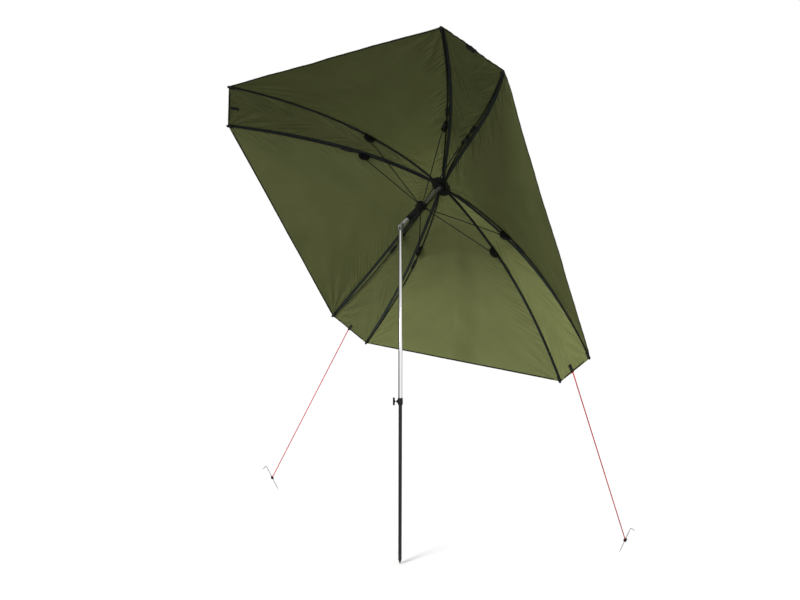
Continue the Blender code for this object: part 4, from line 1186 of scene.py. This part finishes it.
def panel_slack(panel, wide, r, u, length):
    """How far the cloth of a panel lies from the straight line between its ribs, in metres upwards.
    u runs from 0 at the panel's first rib to 1 at its second, and length is that line's own."""
    hollow, size, hem_pitch, hem_wave, gathers = SLACK[wide]
    size *= min(1.1, math.sqrt(WRINKLED[panel]))
    first = u * length
    second = (1 - u) * length
    arch = math.sin(math.pi * u)
    grow = r / RIB_REACH
    rim = RIB_REACH - r
    past_hub = smooth((r - 0.055) / 0.06)
    lift = -hollow * arch * smooth((r - 0.06) / 0.30) * smooth(rim / 0.25)

    # Puckers along both seams, and fans from both corners
    for k, s in enumerate((first, second)):
        seed = 13.7 * panel + 5.3 * k
        past_seam = smooth((s - 0.008) / 0.020)
        pucker = math.sin(math.tau * (r + 0.55 * s) / PUCKER_PITCH + 3.0 * drift(r * 5, seed, 0.0))
        pucker *= PUCKER_HEIGHT * (0.35 + 0.65 * abs(drift(r * 4.0, seed, 4.0)))
        lift += size * pucker * past_seam * math.exp(-s / 0.060) * (1 - 0.45 * grow) * past_hub
        reach = math.hypot(rim, s)
        if reach < 0.6:
            angle = math.atan2(s, max(rim, 1e-6))
            rays = math.sin(angle * RAY_COUNT + seed + 2.2 * drift(angle * 2.5, seed, reach * 2))
            fan = math.exp(-reach / 0.16) * (1 - math.exp(-reach / 0.03)) * past_seam
            lift += size * RAY_HEIGHT * rays * fan

    hem = math.sin(math.tau * first / hem_pitch + 4 * drift(first * 6, 3.1 * panel, 9.0))
    lift += hem_wave * hem * math.exp(-rim / 0.060) * smooth(min(first, second) / 0.04)
    if r < 0.5:
        gather = math.sin(math.tau * u * gathers + 1.7 * panel + 4 * drift(u * 4, r * 3, panel))
        strong = 0.3 + 0.7 * smooth(0.5 + 1.2 * drift(u * 5, 2.0, 1.9 * panel))
        fade = math.exp(-r / 0.22) * past_hub * smooth((0.5 - r) / 0.2)
        lift += GATHER_HEIGHT * strong * gather * fade * arch
    broad = drift(r * 2.2 + 3 * u, u * 5.0 - r * 1.5, 7.7 * panel)
    fold = drift(r * 1.6, (first - 0.4 * r) * 9.0, 3.3 * panel)
    return lift + (BROAD_HEIGHT * broad + FOLD_HEIGHT * fold) * arch * grow * size


def gap_beside(number, after):
    """The angle of the panel after or before a rib, negative before it."""
    gap = WIDE_GAP if (number % 2 == 0) == after else PAIR_GAP
    return gap if after else -gap


def seam_line(number, r, rise):
    """The point at r on a gore's seam, beside the bowed rod and above it, so that the cloth clears it."""
    across = aside(number, r, SEAM_BOW)
    apart = across - aside(number, r, ROD_BOW)
    gap = abs(gap_beside(number, apart < 0))
    lift = abs(apart) * (math.tan(gap / 2) * math.tan(rib_slope(r)) + SEAM_LIFT)
    return rib_line(r, rise + lift) + Vector((0, across, 0))


def cloth_point(number, r, b, rise):
    """A point of a gore in its rib's frame. b runs from -1 in the middle of the panel before the rib,
    through 0 on the rib, to 1 in the middle of the panel after it."""
    after = b >= 0
    gap = gap_beside(number, after)
    beyond = neighbour(number, 1 if after else -1)
    own = seam_line(number, r, rise)
    chord = Matrix.Rotation(gap, 3, "Z") @ seam_line(beyond, r, rise) - own
    share = abs(b) / 2
    panel, u = (number, share) if after else (beyond, 1 - share)
    slack = panel_slack(panel, abs(gap) > PAIR_GAP, r, u, chord.length)
    slope = rib_slope(r)
    out = Vector((math.cos(gap / 2), math.sin(gap / 2), 0))
    normal = out * math.sin(slope) + Vector((0, 0, math.cos(slope)))
    return own + chord * share + normal * slack


def half_width(number, r, after):
    """Half the width of the panel after or before a rib, at r."""
    return rib_line(r, CLOTH_RISE).x * math.sin(abs(gap_beside(number, after)) / 2)


def finished_sheet(form, thickness, place, layer=None):
    """Thickens a sheet downwards, maps its UV in metres from a layer or its own X and Y, and puts it in
    its place. Its area is that of its upper side."""
    form.normal_update()
    if sum(face.normal.z for face in form.faces) < 0:
        bmesh.ops.reverse_faces(form, faces=form.faces)
    area = sum(face.calc_area() for face in form.faces)
    bmesh.ops.solidify(form, geom=form.faces[:], thickness=-thickness)
    uv = form.loops.layers.uv.new("UVMap")
    for face in form.faces:
        for loop in face.loops:
            loop[uv].uv = (loop.vert[layer] if layer else loop.vert.co).xy
    if layer:
        form.verts.layers.float_vector.remove(layer)
    bmesh.ops.recalc_face_normals(form, faces=form.faces)
    form.transform(place)
    return form, area


def cloth_form(number, columns, start, rise, thickness, half=None):
    """A sheet laid along a rib at a height above it, from start to the hem. It has one count of columns
    before the rib and one after it, closer beside the rib. It reaches the middle of both panels, or a
    half width either side. The UV map runs in metres along and across it."""
    form = bmesh.new()
    for count, side in zip(columns, (-1, 1)):
        made = bmesh.ops.create_grid(form, x_segments=count, y_segments=LONG_CELLS, size=1)["verts"]
        crowd = CROWDED if count == WIDE_CELLS else 1.0
        for vert in made:
            vert.co.x = side * ((1 + side * vert.co.x) / 2) ** crowd
    bmesh.ops.remove_doubles(form, verts=form.verts, dist=1e-6)
    places = form.verts.layers.float_vector.new("places")
    for vert in form.verts:
        r = start + (RIB_REACH - start) * (vert.co.y + 1) / 2
        widest = half_width(number, r, vert.co.x >= 0)
        across = vert.co.x * (widest if half is None else min(half, widest * 0.98))
        vert[places] = (r, across, 0)
        vert.co = cloth_point(number, r, across / widest, rise)
    return finished_sheet(form, thickness, rib_frame(number), places)


for number in range(1, 9):
    columns = (NARROW_CELLS, WIDE_CELLS) if number % 2 == 0 else (WIDE_CELLS, NARROW_CELLS)
    form, area = cloth_form(number, columns, CLOTH_HOLE, CLOTH_RISE, CLOTH_THICKNESS)
    finish = canopy_finish(number)
    body = f"rib_side_{number}"
    gore = fitted(f"canopy_gore_{number}", form, finish, body, [f"gore_{number}"], 60)


# Seam tapes, hems and tip pockets
# A dark woven tape of 18 mm is stitched under each seam with two rows of thread. A dark binding is
# folded round every hem, and a small webbing pocket in each corner holds the end of its rib.

TAPE_HALF = 0.0088
TAPE_RISE = 0.0047
TAPE_THICKNESS = 0.0009
STITCH_AWAY = 0.0073
STITCH_PITCH = 0.0035
HEM_HALF = 0.0042
HEM_HIGH = 0.0013
HEM_STEPS = 24
# Distance past the rib's end, half width and half height along a pocket
POCKET = [
    (-0.026, 0.0070, 0.0050), (-0.0245, 0.0078, 0.0056), (-0.008, 0.0082, 0.0068), (-0.001, 0.0080, 0.0068),
    (0.0040, 0.0058, 0.0050), (0.0060, 0.0030, 0.0026),
]

# Thread in a row on both sides of the middle line of a UV map in metres, and the band between them.
stitches, given, made = new_group("stitches", {}, ["Thread", "Middle"])
split = split_up(stitches, given["Vector"])
across = calc(stitches, "ABSOLUTE", split["Y"])
off = calc(stitches, "ABSOLUTE", calc(stitches, "SUBTRACT", across, STITCH_AWAY))
wave = calc(stitches, "SINE", calc(stitches, "MULTIPLY", split["X"], math.tau / STITCH_PITCH))
dash = calc(stitches, "MULTIPLY_ADD", wave, 3.0, 2.2, clamp=True)
row = ranged(stitches, off, 0.0002, 0.0004, 1.0, 0.0)
put(stitches, made["Thread"], calc(stitches, "MULTIPLY", row, dash))
put(stitches, made["Middle"], ranged(stitches, across, 0.0030, 0.0062, 1.0, 0.0, "SMOOTHSTEP"))

seam_tape, tree = new_material("seam_tape", (0.008, 0.011, 0.010))
weave = use_group(tree, plain_weave, Vector=coordinates(tree), Threads=1000.0)
thread = use_group(tree, stitches, Vector=coordinates(tree))
band = blended(tree, thread["Middle"], (0.011, 0.016, 0.016), (0.034, 0.045, 0.041))
band = blended(tree, calc(tree, "MULTIPLY", weave["Slubs"], 0.5), band, (0.020, 0.026, 0.023))
band = blended(tree, thread["Thread"], band, (0.040, 0.050, 0.042))
height = calc(tree, "MULTIPLY_ADD", weave["Height"], 0.3, thread["Thread"])
dress(tree, band, 0.7, raised(tree, height, 0.5, 0.0004), specular=0.1)
binding = woven("binding", (0.009, 0.012, 0.010), (0.016, 0.020, 0.016), 900.0, 0.0004)

slope = rib_slope(RIB_REACH)
level, middle = math.cos(slope), CLOTH_RISE + CLOTH_THICKNESS / 2
for number in range(1, 9):
    body = f"rib_side_{number}"
    form, area = cloth_form(number, (4, 4), CLOTH_HOLE + 0.002, TAPE_RISE, TAPE_THICKNESS, TAPE_HALF)
    tape = fitted(f"seam_tape_{number}", form, seam_tape, body, [f"gore_{number}"], 50)

    points, ways = [], []
    for i in range(-HEM_STEPS, HEM_STEPS + 1):
        half = gap_beside(number, i >= 0) / 2 if i else 0
        ways.append(Vector((math.cos(half) * level, math.sin(half) * level, -math.sin(slope))))
        points.append(cloth_point(number, RIB_REACH - HEM_HALF + 0.0008, i / HEM_STEPS, middle))
    hem = drawn(points, [(HEM_HALF, HEM_HIGH)] * len(points), 12, ways)
    hem.transform(rib_frame(number))
    fitted(f"hem_binding_{number}", hem, binding, body, [f"gore_{number}"], 50)

    points = [on_rod(number, RIB_REACH + at, -0.0003) for at, _, _ in POCKET]
    pocket = drawn(points, [(wide, high) for _, wide, high in POCKET], 20)
    pocket.transform(rib_frame(number))
    fitted(f"tip_pocket_{number}", pocket, binding, body)


# Webbing tabs and apex lining
# Tabs of dark webbing are stitched under the four short hems: two for the guy lines, a small one for
# a peg and the folded strap that ties the closed canopy. A round of dark lining guards the apex.

# As GUY_TABS
HEM_TABS = {
    "guy_tab_back": GUY_TABS["back"],
    "guy_tab_side": GUY_TABS["side"],
    "peg_tab_high": (3, 1, 0.007, 0.016, 0.056, -0.012),
    "closing_strap": (5, 1, 0.006, 0.050, 0.034, 0.010),
}
FOLD_SIZE = (0.040, 0.030, 2 * TAB_THICKNESS)
PATCH_RADIUS = 0.063
PATCH_RISE = 0.0038
PATCH_THICKNESS = 0.0006
SCALLOP = 0.004
LINING_GATHER = 0.00045
RINGS = 14
SPOKES = 128

webbing = grained(
    "webbing", (0.008, 0.010, 0.009), (0.016, 0.019, 0.016), 0.6, 0.72, 0.0, 1500.0, 60.0, 0.0004, 0.6
)
for name, (number, turn, from_middle, width, on_cloth, past) in HEM_TABS.items():
    at = ((past - on_cloth) / 2, 0, TAB_LEVEL)
    tab = block((past + on_cloth, width, TAB_THICKNESS), at, 0.0006)
    if name == "closing_strap":
        folded = block(FOLD_SIZE, at, 0.0008)
        folded.transform(shift(0.006, 0.010, -0.0020) @ Matrix.Rotation(0.5, 4, "Z"))
        tab = add_forms(tab, folded)
    tab.transform(hem_frame(number, turn, from_middle))
    fitted(f"webbing_{name}", tab, webbing, f"rib_side_{number}", [name], 35)

lining = bmesh.new()
rows = []
for i in range(RINGS + 1):
    rows.append([])
    for k in range(SPOKES):
        angle = math.tau * k / SPOKES
        edge = PATCH_RADIUS - SCALLOP * abs(math.sin(8 * angle))
        gather = math.sin(20 * angle + 2 * drift(math.cos(angle) * 2, math.sin(angle) * 2, 5)) * i / RINGS
        point = rib_line(CLOTH_HOLE + (edge - CLOTH_HOLE) * i / RINGS, PATCH_RISE)
        low = point.z - abs(LINING_GATHER * gather)
        rows[i].append(lining.verts.new((point.x * math.cos(angle), point.x * math.sin(angle), low)))
for inner, outer in zip(rows, rows[1:]):
    for k in range(SPOKES):
        after = (k + 1) % SPOKES
        lining.faces.new([inner[k], inner[after], outer[after], outer[k]])
bmesh.ops.recalc_face_normals(lining, faces=lining.faces)
lining, area = finished_sheet(lining, PATCH_THICKNESS, hub_place)
lining_cloth = woven("lining_cloth", (0.009, 0.011, 0.006), (0.017, 0.020, 0.011), 1200.0, 0.0002)
patch = fitted("apex_lining", lining, lining_cloth, "head", ["apex_patch"], 60)
